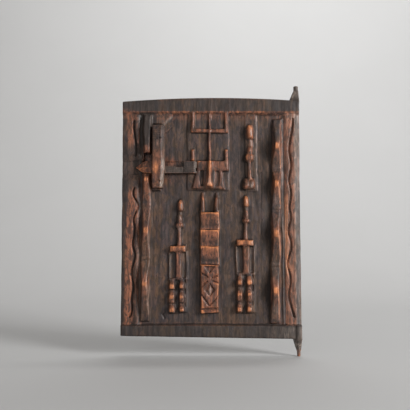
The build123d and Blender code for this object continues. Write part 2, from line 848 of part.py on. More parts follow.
def case_height_at(z):
    """Height of the case's front, z above its foot."""
    stations = case_stations()
    for (z0, h0), (z1, h1) in zip(stations, stations[1:]):
        if z <= z1:
            return h0 + (h1 - h0) * (z - z0) / (z1 - z0)
    return stations[-1][1]


def nail_cut(radius, front, bottom):
    """Round tool along the nails' direction at both nail places."""
    tools = []
    for x, z, height in nail_places():
        length = height + front + bottom
        shaft = Rot(90, 0, 0) * Cylinder(
            radius, length, align=(Align.CENTER, Align.CENTER, Align.MIN))
        tools.append(Pos(x, -field_front + bottom, z) * shaft)
    return tools


def door_leaf():
    leaf = plank()
    leaf = leaf + horns()
    leaf = leaf + [
        border(lock_x, 1, lock_border_width, lock_border_fall),
        border(hinge_x, -1, hinge_border_width, hinge_border_fall),
    ]
    leaf = leaf + [
        ridge(lock_x, 1, lock_ridge_low, lock_ridge_high, lock_ridge_peaks,
              lock_ridge_valleys, lock_ridge_ends, lock_ridge_head_height),
        ridge(hinge_x, -1, hinge_ridge_low, hinge_ridge_high, hinge_ridge_peaks,
              hinge_ridge_valleys, hinge_ridge_ends, hinge_ridge_head_height),
        block(hinge_x - bead_in - bead_width / 2, hinge_x - bead_in + bead_width / 2,
              bottom_rail_z, top_rail_z - 6, bead_height),
    ]
    leaf = leaf - [
        wave(lock_x, 1, lock_wave_upper),
        wave(lock_x, 1, lock_wave_lower),
        wave(hinge_x, -1, hinge_wave),
    ]
    leaf = leaf + lintel_and_rest()
    leaf = leaf + cross() + column()
    leaf = leaf + seated_figure(
        hinge_x - left_figure_in, left_figure_lean, top_rail_z - left_figure_below_rail,
        left_torso_length, left_stool_height)
    leaf = leaf + seated_figure(
        hinge_x - right_figure_in, right_figure_lean, top_rail_z - right_figure_below_rail,
        right_torso_length, right_stool_height)
    leaf = leaf + standing_figure(
        hinge_x - upper_figure_in, upper_figure_lean, top_rail_z - upper_figure_below_rail)
    leaf = leaf - bolt_track()
    return leaf - nail_cut(nail_radius + nail_play, 0, nail_bite)


def tumbler_places():
    """Middle x of each tumbler."""
    return {
        "tumbler_left": case_x - tumbler_spacing / 2,
        "tumbler_right": case_x + tumbler_spacing / 2,
    }


def upright_bore(x, z0, z1, radius):
    """Round tool standing in the bolt's middle plane."""
    tool = Cylinder(radius, z1 - z0, align=(Align.CENTER, Align.CENTER, Align.MIN))
    return Pos(x, -field_front - bolt_middle, z0) * tool


def lock_case():
    """Case with a worn swell over the bolt, hollowed from its back."""
    left = case_x - case_width / 2
    sections = []
    for z, height in case_stations():
        right = case_right_at(z)
        plan = Polyline(
            (left, -field_front), (right, -field_front),
            (right, -field_front - height + case_chamfer),
            (right - case_chamfer, -field_front - height),
            (left + case_left_chamfer, -field_front - height),
            (left, -field_front - height + case_left_chamfer),
            close=True,
        )
        sections.append(Plane.XY.offset(case_foot_z + z) * make_face(plan))
    body = loft(sections, ruled=True)
    channel_top = shank_top_z + running_gap
    channel = block(
        left - 1, left + case_width + 1, bolt_z - running_gap, channel_top,
        bolt_back + shank_thickness + running_gap, -1,
    )
    chamber_z = channel_top + web
    chamber_height = tumbler_drop + tumbler_head_height + tumbler_spare
    chamber_half = tumbler_spacing / 2 + tumbler_head_radius + running_gap
    chamber = block(
        case_x - chamber_half, case_x + chamber_half, chamber_z, chamber_z + chamber_height,
        bolt_middle + tumbler_head_radius + running_gap, -1,
    )
    body = body - [channel, chamber]
    for x in tumbler_places().values():
        body -= upright_bore(x, channel_top - 1, chamber_z + 1, tumbler_radius + tumbler_play)
    return body - nail_cut(nail_radius + nail_play, 1, 0)


def lock_bolt():
    """Bolt with a leaf-shaped head, bored for the tumblers and hollowed for the key."""
    tip_x = head_shoulder_x - head_length
    middle_z = (bolt_z + bolt_head_z) / 2
    front = bolt_back + shank_thickness
    shank = block(
        head_shoulder_x - 1, tail_shoulder_x + 1, bolt_z, shank_top_z, front, bolt_back)
    worn = block(
        tail_shoulder_x - 8.7, tail_shoulder_x + 1, shank_top_z - shank_step,
        shank_top_z + 1, front + 1, bolt_back - 1)
    sections = []
    for x, low, high, thick in (
        (tip_x, middle_z - 0.5, middle_z + 0.5, 0.4),
        (tip_x + head_length * 0.38, bolt_z + 1.4, bolt_head_z - 2.0, 0.85),
        (tip_x + head_length * 0.62, bolt_z, bolt_head_z, 1.0),
        (head_shoulder_x, bolt_z, bolt_head_z, 1.0),
    ):
        back, crest = -field_front - bolt_back, shank_thickness * thick
        side = Polyline(
            (back, low), (back - crest, low), (back - crest - head_crest * thick, (low + high) / 2),
            (back - crest, high), (back, high), close=True,
        )
        sections.append(Plane.YZ.offset(x) * make_face(side))
    head = loft(sections, ruled=True)
    tail = block(tail_shoulder_x, tail_end_x, bolt_z, bolt_head_z, front + 0.6, bolt_back)
    end = tail.faces().sort_by(Axis.X)[-1]
    tail = chamfer(end.edges().sort_by(Axis.Y)[0], tail_facet)
    bolt = (shank - worn) + [head, tail]
    keyway_top = shank_top_z - keyway_roof
    hole_radius = tumbler_radius + tumbler_play
    far_x = min(tumbler_places().values()) + bolt_throw - hole_radius
    keyway = block(
        far_x, tail_end_x + 1, keyway_top - keyway_height, keyway_top,
        bolt_middle + keyway_width / 2, bolt_middle - keyway_width / 2,
    )
    bolt = bolt - keyway
    for x in tumbler_places().values():
        bolt -= upright_bore(x + bolt_throw, keyway_top - 0.5, shank_top_z + 1, hole_radius)
    return bolt


def tumbler(x):
    """Headed wooden pin, resting on top of the drawn-back bolt."""
    foot = shank_top_z + tumbler_seat
    head_foot = shank_top_z + running_gap + web + tumbler_drop
    pin = upright_bore(x, foot, head_foot + 0.5, tumbler_radius)
    cap = upright_bore(x, head_foot, head_foot + tumbler_head_height, tumbler_head_radius)
    return pin + cap


def case_nail(x, z, height):
    """Cut nail, its end sunk below the case's face and its point in the plank."""
    length = height - nail_sunk + nail_bite
    side = Polyline(
        (0, 0), (nail_radius, nail_point), (nail_radius, length), (0, length), close=True)
    nail = revolve(make_face(side), Axis.Y, 360)
    return Pos(x, -field_front + nail_bite, z) * Rot(180, 0, 0) * nail


parts = {
    "door_leaf": door_leaf(),
    "lock_case": lock_case(),
    "lock_bolt": lock_bolt(),
}
for name, x in tumbler_places().items():
    parts[name] = tumbler(x)
for name, place in zip(("upper_case_nail", "lower_case_nail"), nail_places()):
    parts[name] = case_nail(*place)

os.makedirs("parts", exist_ok=True)
for name, solid in parts.items():
    export_step(solid, f"parts/{name}.step")
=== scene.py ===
import math
from types import SimpleNamespace

import bpy
from bpy.props import FloatProperty, FloatVectorProperty, IntProperty
import numpy as np
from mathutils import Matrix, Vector, noise


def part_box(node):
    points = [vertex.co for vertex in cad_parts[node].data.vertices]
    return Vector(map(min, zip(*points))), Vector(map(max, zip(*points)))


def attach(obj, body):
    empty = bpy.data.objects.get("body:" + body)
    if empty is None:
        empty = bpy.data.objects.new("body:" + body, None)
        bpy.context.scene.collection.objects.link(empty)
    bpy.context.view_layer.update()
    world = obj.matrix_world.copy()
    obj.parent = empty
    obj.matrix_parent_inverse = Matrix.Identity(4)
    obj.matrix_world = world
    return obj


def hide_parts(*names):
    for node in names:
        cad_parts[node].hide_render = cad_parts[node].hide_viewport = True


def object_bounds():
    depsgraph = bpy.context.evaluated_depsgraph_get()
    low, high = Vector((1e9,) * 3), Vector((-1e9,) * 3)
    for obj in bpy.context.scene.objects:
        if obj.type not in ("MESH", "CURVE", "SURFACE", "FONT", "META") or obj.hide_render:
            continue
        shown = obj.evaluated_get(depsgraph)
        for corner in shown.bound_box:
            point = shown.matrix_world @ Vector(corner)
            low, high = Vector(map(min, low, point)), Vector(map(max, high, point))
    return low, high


bl_info = {
    "name": "Carved granary door",
    "version": (1, 0, 0),
    "blender": (4, 5, 0),
    "location": "View3D > Sidebar > Granary door",
    "description": "Dresses the packed granary door in worn, hand-carved wood",
    "category": "Object",
}

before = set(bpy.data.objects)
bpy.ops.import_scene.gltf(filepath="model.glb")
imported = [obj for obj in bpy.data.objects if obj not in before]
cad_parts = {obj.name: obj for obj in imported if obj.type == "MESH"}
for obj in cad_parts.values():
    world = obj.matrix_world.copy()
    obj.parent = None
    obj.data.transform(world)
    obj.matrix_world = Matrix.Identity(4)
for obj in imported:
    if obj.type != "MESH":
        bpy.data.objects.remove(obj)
CAD_BOX = [list(corner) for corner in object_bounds()]
LEAF_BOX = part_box("door_leaf")
CASE_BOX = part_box("lock_case")
BOLT_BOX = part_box("lock_bolt")

MM = 0.001

# ---- where the carving stands: x and z in the front view, in millimetres ----

FIELD_Y = -4.5  # the flat ground of the carved face
BOTTOM_RAIL = 33.3  # top of the bottom rail
TOP_RAIL = 266.7  # foot of the top rail
LOCK_EDGE_X = -193.3  # free edge of the leaf
LOCK_PEAKS = (78.1, 136.1, 191.3, 225.3)  # heights of the ridges' peaks
HINGE_PEAKS = (71.3, 132.3, 186.5, 228.3)
LOCK_CREST = (-167.3, -165.3)  # where each ridge's crest stands at the bottom and the top rail
HINGE_CREST = (-26.5, -21.9)
LOCK_RIDGE_X, HINGE_RIDGE_X = (-174.5, -158.5), (-31.0, -17.0)
LOCK_BORDER_EDGE = (  # heights, and where the border's worn outer slope ends there
    (60.0, 125.0, 185.0, 250.0), (-189.4, -188.6, -185.8, -187.6))
LOCK_BORDER_X, HINGE_BORDER_X = (-186.0, -175.5), (-13.6, -3.4)
BORDER_CREST_X = (-14.4, -11.2)  # the hinge border's own crest, next to the field
FALL_X = (-181.0, -175.4)  # where the lock border falls away to the field
MIDDLE_X = (-152.0, -36.0)  # all the figures between the ridges
COLUMN_X = (-108.5, -85.5)  # the column of boxes over the diamonds
BOXES_X, BOXES_Z = (-109.0, -84.6), (98.0, 157.0)
BOX_FEET = (137.5, 118.0, 97.5)
BOX_LEFT_X, BOX_RIGHT_X = (-107.8, -105.4), (-89.6, -87.2)
DIAMONDS_X, DIAMONDS_Z = (-106.5, -87.5), (46.5, 97.5)
LEGS_Z, STOOLS_Z = (44.0, 84.0), (84.0, 113.0)
UPPER_HEAD = ((-52.4, 248.0), (9.0, 9.0))  # centre and reach of the upper figure's head
BOLT_X, BOLT_Z = (-194.0, -107.5), (196.5, 213.5)
BED_Z = (186.0, 224.0)  # the bolt's bed, with the ground that its head rubs
CASE_X, CASE_Z = (-162.0, -144.5), (178.0, 253.0)
BODY_Z = (19.0, 281.0)  # the leaf without the round ends of its pivots
LINTEL_SLOPE = ((-139.0, 261.6), (-148.6, 253.2), 3.6)  # start, end and width of its arris

SCORED_LINES = (  # (x, z) start and end, width and depth of thin lines in the field
    ((-121.6, 120.0), (-121.0, 38.0), 1.5, 0.3),
    ((-48.3, 118.0), (-47.8, 44.0), 1.5, 0.3),
    ((-137.4, 251.5), (-147.4, 242.8), 1.8, 0.7),
    ((-120.8, 246.0), (-121.4, 214.5), 1.4, 0.4),
    ((-147.6, 45.0), (-145.4, 40.5), 3.0, 0.9),
    ((-166.0, 120.0), (-165.0, 92.0), 1.2, 0.5),
    ((-86.0, 96.0), (-84.6, 52.0), 1.2, 0.35),
    ((-39.8, 200.0), (-40.6, 132.0), 1.2, 0.35),
    ((-114.0, 262.0), (-113.6, 248.6), 1.2, 0.5),
    ((-113.6, 248.2), (-80.4, 248.0), 1.2, 0.5),
)

# ---- touches of colour, painted highlight and painted shade: centre, reach, share there, and the mask that holds it, if any ----

RED_TOUCHES = (
    ((-190.0, 268.5), (9.0, 2.4), 0.6, "front"),  # free end of the top rail's lip
    ((-165.5, 216.0), (4.0, 4.0), 0.8),  # pocket over the bolt's head
    ((-166.0, 168.0), (8.0, 14.0), 0.45, "tall"),  # ridge under the lock
    ((-98.0, 194.0), (16.0, 9.0), 0.4, "low"),  # ground beside the mask
    ((-140.0, 211.5), (9.0, 4.0), 0.9, "between"),  # ground over the bolt's shank
    ((-138.0, 192.0), (12.0, 4.0), 0.4, "between"),  # ground under it
)
# soot, with painted shadow where marked
SMOKED_AND_SHADED_TOUCHES = (
    ((-23.2, 213.2), (4.0, 6.0), 0.7),  # between the peaks of the ridges
    ((-23.2, 86.3), (4.0, 6.0), 0.9),
    ((-170.0, 53.2), (5.0, 8.0), 0.8),
    ((-108.2, 207.7), (3.0, 4.0), 0.9),  # brow, cheek and nose of the mask, with painted shadow of the nose on the brow
    ((-111.5, 191.1), (3.0, 4.5), 0.3),
    ((-97.7, 198.8), (2.0, 4.0), 0.25),
    ((-116.5, 255.1), (2.6, 6.0), 0.35),  # bar over the mask
    ((-130.3, 163.5), (3.0, 5.0), 0.25),  # head of the first figure
)
# rubbed bare wood, with painted light in the mask's cheek
BARE_AND_LIT_TOUCHES = (
    ((-141.0, 211.5), (8.0, 3.0), 0.3),  # ground over the bolt's shank
    ((-88.3, 193.0), (4.0, 9.0), 0.25, "front"),  # cheek of the mask: painted light in its recess
    ((-7.8, 94.0), (3.5, 10.0), 0.3, "front"),  # foot of the hinge border's wave
    ((-57.0, 122.0), (12.0, 4.0), 0.12),  # seat of the second figure
)
HEADS = (  # how far each head is rubbed bare
    ((-130.8, 163.5), (6.0, 9.0), 0.11),
    ((-58.4, 165.5), (6.0, 9.0), 1.1),
    ((-53.0, 247.0), (6.0, 9.0), 0.4),
)
# pale dust, and painted highlight on faces that turn to the light
DUST_AND_HIGHLIGHT_TOUCHES = (
    ((-97.4, 188.0), (3.0, 4.0), 0.75),  # painted highlight at the foot of the mask's nose
    ((-97.2, 69.7), (2.0, 5.0), 0.7),  # painted highlight on the pupil of the diamond
    ((-130.8, 137.6), (6.0, 2.6), 0.5),  # hands of the first figure
    ((-51.4, 121.0), (2.4, 3.2), 0.7),  # end of the second figure's seat
    ((-51.4, 184.4), (2.2, 2.6), 0.85),  # painted highlight at the foot of the upper figure
    ((-56.4, 163.4), (1.5, 5.0), 0.6),  # painted highlight on the cheeks of the heads
    ((-51.4, 245.0), (1.5, 6.0), 0.5),
    ((-130.3, 150.3), (2.4, 3.4), 0.45),  # chest of the first figure
    ((-20.5, 56.0), (1.6, 9.0), 0.9),  # painted highlight on the foot of the hinge ridge
    ((-24.0, 50.0), (4.0, 7.0), 0.35),
    ((-23.2, 169.0), (4.0, 7.0), 0.3),  # flat of the hinge ridge
    ((-11.6, 126.0), (1.6, 34.0), 0.6),  # crest of the hinge border
)
# painted shadow on the ground beside the relief
PAINTED_SHADOWS = (
    ((-61.0, 247.0), (4.5, 10.0), 1.0),  # painted shadow on the shaded side of each head
    ((-66.0, 164.0), (4.5, 10.0), 1.0),
    ((-138.0, 162.0), (4.5, 10.0), 1.0),
    ((-109.0, 205.0), (6.0, 5.0), 1.3),  # painted shadow in the eyes and cheeks of the mask
    ((-107.8, 193.0), (3.4, 8.0), 1.2),
    ((-92.2, 192.0), (3.4, 8.0), 1.2),
)
CLEAN_TOUCHES = (  # cuts that hold little grime
    ((-165.5, 216.0), (5.0, 5.0), 0.8),  # pocket over the bolt's head
    ((-97.2, 69.7), (2.4, 5.0), 0.8),  # pupil of the diamond
    ((-88.3, 193.0), (4.0, 9.0), 0.8),  # cheek of the mask
)
CLEAN_STRIPS = (  # left and right, feather and share of strips that hold little grime
    (-20.5, -16.8, 0.6, 0.85),  # field beside the hinge ridge, right and left
    (-33.5, -29.5, 0.8, 0.5),
    (-176.5, -171.5, 0.8, 0.7),  # field beside the lock ridge
)

# ---- the lock's pieces ----

CASE_FACES, BOLT_FACES = 120000, 90000  # most triangles kept on each
LOCK_GRAIN, TUMBLER_GRAIN = 1200.0, 1600.0  # fineness of the grain
FITS_Y = (-11.6, -10.6)  # the case stays true behind this depth
BORES_X, BORES_Z, BORES_Y = (-158.3, -147.1), (196.0, 221.0), (-15.6, -14.8)
BORE_ROOM = 0.15  # how far the stand-in's bores stand off, so that the tumblers clear them
NECK_X, NECK_Z = (-159.0, -151.5), (233.0, 249.5)
RIDGING_DEPTH, RIDGING_PITCH = 0.45, 2.45
SCORING_DEPTH, SCORING_PITCH = 0.36, 2.0
CASE_KNIFE, CASE_FIBRES, BOLT_KNIFE = 0.34, 0.12, 0.25  # depths of the marks
SWELL = ((-155.4, 204.0), (4.6, 12.0))  # where the case's swell is rubbed bare
HANDLED = ((-155.0, 203.0), (9.0, 18.0))  # and where hands have made it red
PATCH_X, PATCH_Z = (-155.2, -152.6), (228.5, 234.5)  # pale patch under the neck

# ---- the stage, in metres ----

DOOR_MIDDLE = (-0.095, 0.0, 0.15)
LIGHTS = (  # name, place, target and size
    ("key", (1.4, -1.15, 0.67), DOOR_MIDDLE, 0.7),
    ("fill", (-0.9, -1.9, 0.7), DOOR_MIDDLE, 1.6),
    ("wall", (0.35, 0.5, 2.8), (0.1, 2.25, 2.1), 1.2),
)
AIR_COLOUR = (1.0, 0.92, 0.85, 1.0)
PAPER_COLOURS = (0.615, 0.617, 0.615), (0.625, 0.627, 0.625)
RUST = (0.085, 0.038, 0.022)
SENSOR_WIDTH = 36.0  # millimetres


def length_setting(name, description, default, low, high):
    return FloatProperty(name=name, description=description, default=default,
                         min=low, max=high, precision=5, unit="LENGTH")


def colour_setting(name, description, *default):
    return FloatVectorProperty(name=name, description=description, default=default,
                               min=0, max=1, size=3, subtype="COLOR")


class DoorShape(bpy.types.PropertyGroup):
    """Sizes of the hand work cut into the wood."""

    leaf_voxel: length_setting(
        "Leaf cut size", "Smallest cut kept on the door leaf", 0.00062, 0.0004, 0.003)
    lock_voxel: length_setting(
        "Lock cut size", "Smallest cut kept on the lock's pieces", 0.00032, 0.0002, 0.002)
    knife_depth: length_setting(
        "Knife marks", "Depth of the uneven knife and adze work", 0.00042, 0.0, 0.002)
    grain_depth: length_setting(
        "Raised grain", "Depth of the weathered grain", 0.00010, 0.0, 0.001)
    waver: length_setting(
        "Waver", "How far the carved outlines wander from true", 0.0008, 0.0, 0.002)
    back_depth: length_setting(
        "Back scallops", "Depth of the adze scallops on the back", 0.0011, 0.0, 0.002)
    leaf_faces: IntProperty(
        name="Leaf triangles", description="Most triangles kept on the leaf",
        default=192000, min=20000, max=199000)


class DoorFinish(bpy.types.PropertyGroup):
    """Colours of the old oiled wood and of the iron."""

    ground: colour_setting("Ground", "Grey-brown of the flat ground", 0.038, 0.032, 0.034)
    warm_ground: colour_setting(
        "Warm ground", "Brown streaks that show through the ground", 0.082, 0.049, 0.029)
    red_wood: colour_setting(
        "Red wood", "Warm brown where hands have rubbed the relief", 0.265, 0.098, 0.052)
    # this colour is also laid as painted shade on the boxes, the mask and the relief's
    # undersides
    dark_wood: colour_setting("Dark wood", "Smoked grey-brown of the rails", 0.045, 0.032, 0.027)
    # this orange also shows where painted highlight runs down the lit flanks and arrises
    worn: colour_setting(
        "Worn crests", "Bare orange wood on the highest crests", 0.560, 0.205, 0.085)
    bloom: colour_setting(
        "Dust bloom", "Cold grey of old dust rubbed into the ground", 0.092, 0.079, 0.078)
    # painted highlight: this pale colour is laid on arrises and facets that face the light, with
    # some pale dust
    dry: colour_setting(
        "Dust and highlight", "Pale dusty wood along the facets by the hinge", 0.330, 0.270, 0.230)
    # this colour is also laid as painted shadow beside the relief
    grime_and_shadow: colour_setting("Grime", "Soot and oil packed into the cuts", 0.016, 0.009, 0.006)
    iron: colour_setting("Iron", "Old nail iron", 0.045, 0.036, 0.032)


class DoorStudio(bpy.types.PropertyGroup):
    """Camera, floor and light."""

    eye: FloatVectorProperty(
        name="Camera place", description="Where the camera stands",
        subtype="XYZ", unit="LENGTH", size=3, default=(-0.1019, -0.6545, 0.1131))
    pitch: FloatProperty(
        name="Camera pitch", description="How far the camera looks up",
        subtype="ANGLE", default=math.radians(4.46))
    lens: FloatProperty(
        name="Lens", description="Focal length on a 36 mm sensor, in millimetres",
        default=52.05, min=10, max=300)
    key_power: FloatProperty(
        name="Key light", description="Power of the soft light at the upper right",
        default=35.0, min=0, max=500)
    fill_power: FloatProperty(
        name="Fill light", description="Power of the broad light at the front left",
        default=6.0, min=0, max=500)
    wall_power: FloatProperty(
        name="Wall light", description="Power of the light on the backdrop",
        default=52.0, min=0, max=500)
    air: FloatProperty(
        name="Room light", description="Strength of the even light all round",
        default=0.15, min=0, max=5)


# ---- selecting and modifying ----

def deselect():
    bpy.ops.object.select_all(action="DESELECT")


def take(piece):
    """Make one piece the only selected and active one."""
    deselect()
    piece.select_set(True)
    bpy.context.view_layer.objects.active = piece


def modify(piece, kind, **settings):
    """Add a modifier and apply it at once."""
    take(piece)
    modifier = piece.modifiers.new(kind.lower(), kind)
    for name, value in settings.items():
        setattr(modifier, name, value)
    bpy.ops.object.modifier_apply(modifier=modifier.name)


def stand_in(node, name, body, voxel):
    """A piece of its own from a CAD node's solid, cut evenly into voxels of a size."""
    piece = bpy.data.objects.new(name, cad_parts[node].data.copy())
    bpy.context.scene.collection.objects.link(piece)
    piece.data.materials.clear()
    piece.data.name = name
    take(piece)
    bpy.ops.object.mode_set(mode="EDIT")
    bpy.ops.mesh.select_all(action="SELECT")
    bpy.ops.mesh.remove_doubles(threshold=1e-6)
    bpy.ops.mesh.normals_make_consistent(inside=False)
    bpy.ops.object.mode_set(mode="OBJECT")
    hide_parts(node)
    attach(piece, body)
    modify(piece, "REMESH", mode="VOXEL", voxel_size=voxel, adaptivity=0.0)
    return piece


# ---- reading and moving points ----

def points_of(mesh):
    flat = np.empty(len(mesh.vertices) * 3)
    mesh.vertices.foreach_get("co", flat)
    return flat.reshape(-1, 3)


def normals_of(mesh):
    flat = np.empty(len(mesh.vertices) * 3)
    mesh.vertex_normals.foreach_get("vector", flat)
    return flat.reshape(-1, 3)


def put_points(mesh, points, box):
    """Write the points back, none of them outside the CAD's own box."""
    inside = np.clip(points, *np.array(box))
    mesh.vertices.foreach_set("co", inside.astype(np.float32).ravel())
    mesh.update()


def thin_out(piece, most_faces, box):
    """Join triangles where the surface is flat, down to most_faces, and smooth the rest."""
    piece.data.calc_loop_triangles()
    triangles = len(piece.data.loop_triangles)
    if triangles > most_faces:
        modify(piece, "DECIMATE", decimate_type="COLLAPSE", ratio=most_faces / triangles,
               use_collapse_triangulate=True)
    take(piece)
    bpy.ops.object.shade_smooth()
    put_points(piece.data, points_of(piece.data), box)


def rise(values, low, high):
    """Smooth step from 0 at low to 1 at high."""
    share = np.clip((values - low) / (high - low), 0.0, 1.0)
    return share * share * (3 - 2 * share)


def band(values, low, high, feather):
    """1 between low and high, falling to 0 over the feather outside them."""
    return rise(values, low - feather, low) * (1 - rise(values, high, high + feather))


def wander(points, across, along, seed, octaves=3):
    """Uneven value from -1 to 1 at each point, stretched up the grain."""
    scale = np.array([1 / across, 1 / across, 1 / along])
    at = points / MM * scale + seed * np.array([7.31, 3.17, 5.77])
    return np.array([noise.fractal(Vector(p), 1.0, 2.0, octaves) for p in at])


def neighbours(mesh):
    """A function that gives every point the mean of its neighbours' places."""
    size = len(mesh.vertices)
    pairs = np.empty(len(mesh.edges) * 2, dtype=np.int64)
    mesh.edges.foreach_get("vertices", pairs)
    a, b = pairs.reshape(-1, 2).T
    count = np.maximum(np.bincount(np.concatenate([a, b]), minlength=size), 1)

    def mean(places):
        total = np.empty_like(places)
        for axis in range(3):
            total[:, axis] = (
                np.bincount(a, weights=places[b, axis], minlength=size)
                + np.bincount(b, weights=places[a, axis], minlength=size))
        return total / count[:, None]
    return mean


def rub_down(mesh, rounds, arrises, corners):
    """Rub the mesh: arrises and inner corners each give way by their own share a round."""
    mean = neighbours(mesh)
    points = points_of(mesh)
    for turn in range(rounds):
        if turn % 3 == 0:
            normals = normals_of(mesh)
        pull = mean(points) - points
        inward = (pull * normals).sum(axis=1) < 0
        points = points + pull * np.where(inward, arrises, corners)[:, None]
        mesh.vertices.foreach_set("co", points.astype(np.float32).ravel())
        mesh.update()


def bulge(mesh, points, normals, rounds):
    """How far each point stands out from its smoothed surroundings, in millimetres."""
    mean = neighbours(mesh)
    calm = points.copy()
    for _ in range(rounds):
        calm = 0.5 * calm + 0.5 * mean(calm)
    return ((points - calm) * normals).sum(axis=1) / MM


def near_line(points, start, end, width):
    """1 on a straight line between two (x, z) places in mm, falling to 0 at half its width."""
    a, b = np.array(start), np.array(end)
    along = b - a
    at = points[:, [0, 2]] / MM - a
    share = np.clip(at @ along / (along @ along), 0.0, 1.0)
    distance = np.linalg.norm(at - share[:, None] * along, axis=1)
    return np.clip(1 - 2 * distance / width, 0.0, 1.0)


def spot(x, z, centre, reach):
    """1 at a centre in the front view, fading over its reach to the sides and up."""
    away = ((x - centre[0]) / reach[0]) ** 2 + ((z - centre[1]) / reach[1]) ** 2
    return np.exp(-away)


def touches(m, table):
    """Each touch of a table at each point, held to its mask where it names one."""
    return [share * spot(m.x, m.z, centre, reach) * math.prod(getattr(m, name) for name in mask)
            for centre, reach, share, *mask in table]


def paint(mesh, name, values):
    """Keep a value per point for the materials to read."""
    layer = mesh.attributes.new(name, "FLOAT", "POINT")
    layer.data.foreach_set("value", np.clip(values, 0.0, 1.0).astype(np.float32))


# ---- node groups ----

def node(tree, kind, settings=None, **inputs):
    """Add a node; an input given as a socket is wired, any other value is set."""
    made = tree.nodes.new(kind)
    for name, value in (settings or {}).items():
        setattr(made, name, value)
    for name, value in inputs.items():
        key = int(name[1:]) if name[0] == "_" else name.replace("_", " ")
        wire(tree, made.inputs[key], value)
    return made


def wire(tree, socket, value):
    if isinstance(value, bpy.types.NodeSocket):
        tree.links.new(value, socket)
    else:
        socket.default_value = value


def sums(tree, operation, a, b=0.0, clamp=False):
    return node(tree, "ShaderNodeMath", {"operation": operation, "use_clamp": clamp},
                _0=a, _1=b).outputs[0]


def times(tree, a, b, clamp=False):
    return sums(tree, "MULTIPLY", a, b, clamp)


def remap(tree, value, low, high, to_low=0.0, to_high=1.0):
    """Spread a value from one range to another, with soft ends."""
    made = node(tree, "ShaderNodeMapRange", {"interpolation_type": "SMOOTHSTEP"}, Value=value)
    for name, number in (("From Min", low), ("From Max", high),
                         ("To Min", to_low), ("To Max", to_high)):
        wire(tree, made.inputs[name], number)
    return made.outputs[0]


def blend(tree, factor, a, b, kind="MIX"):
    made = node(tree, "ShaderNodeMix", {"data_type": "RGBA", "blend_type": kind})
    wire(tree, made.inputs["Factor"], factor)
    for socket, value in ((made.inputs[6], a), (made.inputs[7], b)):
        wire(tree, socket, value if isinstance(value, bpy.types.NodeSocket)
             else (*value, 1.0))
    return made.outputs[2]


def speckle(tree, scale, stretch, detail, roughness, distortion):
    """Noise drawn out along the grain, which runs up the door."""
    place = node(tree, "ShaderNodeTexCoord").outputs["Object"]
    along = times(tree, scale, stretch)
    sizes = node(tree, "ShaderNodeCombineXYZ", None, X=scale, Y=scale, Z=along).outputs[0]
    drawn_out = node(tree, "ShaderNodeVectorMath", {"operation": "MULTIPLY"},
                     _0=place, _1=sizes).outputs[0]
    return node(tree, "ShaderNodeTexNoise", None, Vector=drawn_out, Scale=1.0, Detail=detail,
                Roughness=roughness, Distortion=distortion).outputs[0]


def group(name, inputs, outputs):
    """An empty node group with float inputs (name, default) and named outputs."""
    tree = bpy.data.node_groups.new(name, "ShaderNodeTree")
    for label, default in inputs:
        socket = tree.interface.new_socket(label, in_out="INPUT", socket_type="NodeSocketFloat")
        socket.default_value = default
    for label in outputs:
        tree.interface.new_socket(label, in_out="OUTPUT", socket_type="NodeSocketFloat")
    inside = tree.nodes.new("NodeGroupInput")
    return tree, inside.outputs, tree.nodes.new("NodeGroupOutput").inputs


def grain_group():
    """Long fibres, their dark pores, and the height they give the surface."""
    tree, given, result = group(
        "wood_grain", [("Scale", 700.0), ("Stretch", 0.05)],
        ["Fibres", "Bundles", "Pores", "Height"])
    fibres = speckle(tree, given["Scale"], given["Stretch"], 5.0, 0.62, 0.35)
    finer = times(tree, given["Scale"], 2.6)
    pores = speckle(tree, finer, given["Stretch"], 3.0, 0.7, 0.2)
    wider = times(tree, given["Scale"], 0.42)
    bundles = speckle(tree, wider, given["Stretch"], 2.0, 0.5, 0.5)
    wire(tree, result["Fibres"], remap(tree, fibres, 0.3, 0.72))
    wire(tree, result["Bundles"], remap(tree, bundles, 0.36, 0.64))
    wire(tree, result["Pores"], remap(tree, pores, 0.6, 0.78))
    wire(tree, result["Height"], sums(tree, "ADD", times(tree, fibres, 0.65),
                                      times(tree, pores, 0.35)))
    return tree


def patch_group():
    """Uneven patches, broad to small, as oil, smoke, dust and handling leave them."""
    tree, given, result = group(
        "uneven_patches", [("Scale", 38.0), ("Stretch", 0.45), ("Softness", 0.2)],
        ["Patches", "Blotches", "Mottle", "Bloom"])

    def layer(finer, longer, detail, roughness, distortion):
        scale = times(tree, given["Scale"], finer)
        stretch = times(tree, given["Stretch"], longer)
        return speckle(tree, scale, stretch, detail, roughness, distortion)

    broad = layer(1.0, 1.0, 3.0, 0.55, 0.4)
    low = sums(tree, "SUBTRACT", 0.5, given["Softness"])
    high = sums(tree, "ADD", 0.5, given["Softness"])
    wire(tree, result["Patches"], remap(tree, broad, low, high))
    wire(tree, result["Blotches"], remap(tree, layer(5.0, 1.0, 4.0, 0.6, 0.6), 0.42, 0.6))
    wire(tree, result["Mottle"], remap(tree, layer(8.5, 0.8, 5.0, 0.68, 0.9), 0.4, 0.6))
    wire(tree, result["Bloom"], remap(tree, layer(3.1, 1.3, 5.0, 0.66, 0.5), 0.5, 0.72))
    return tree


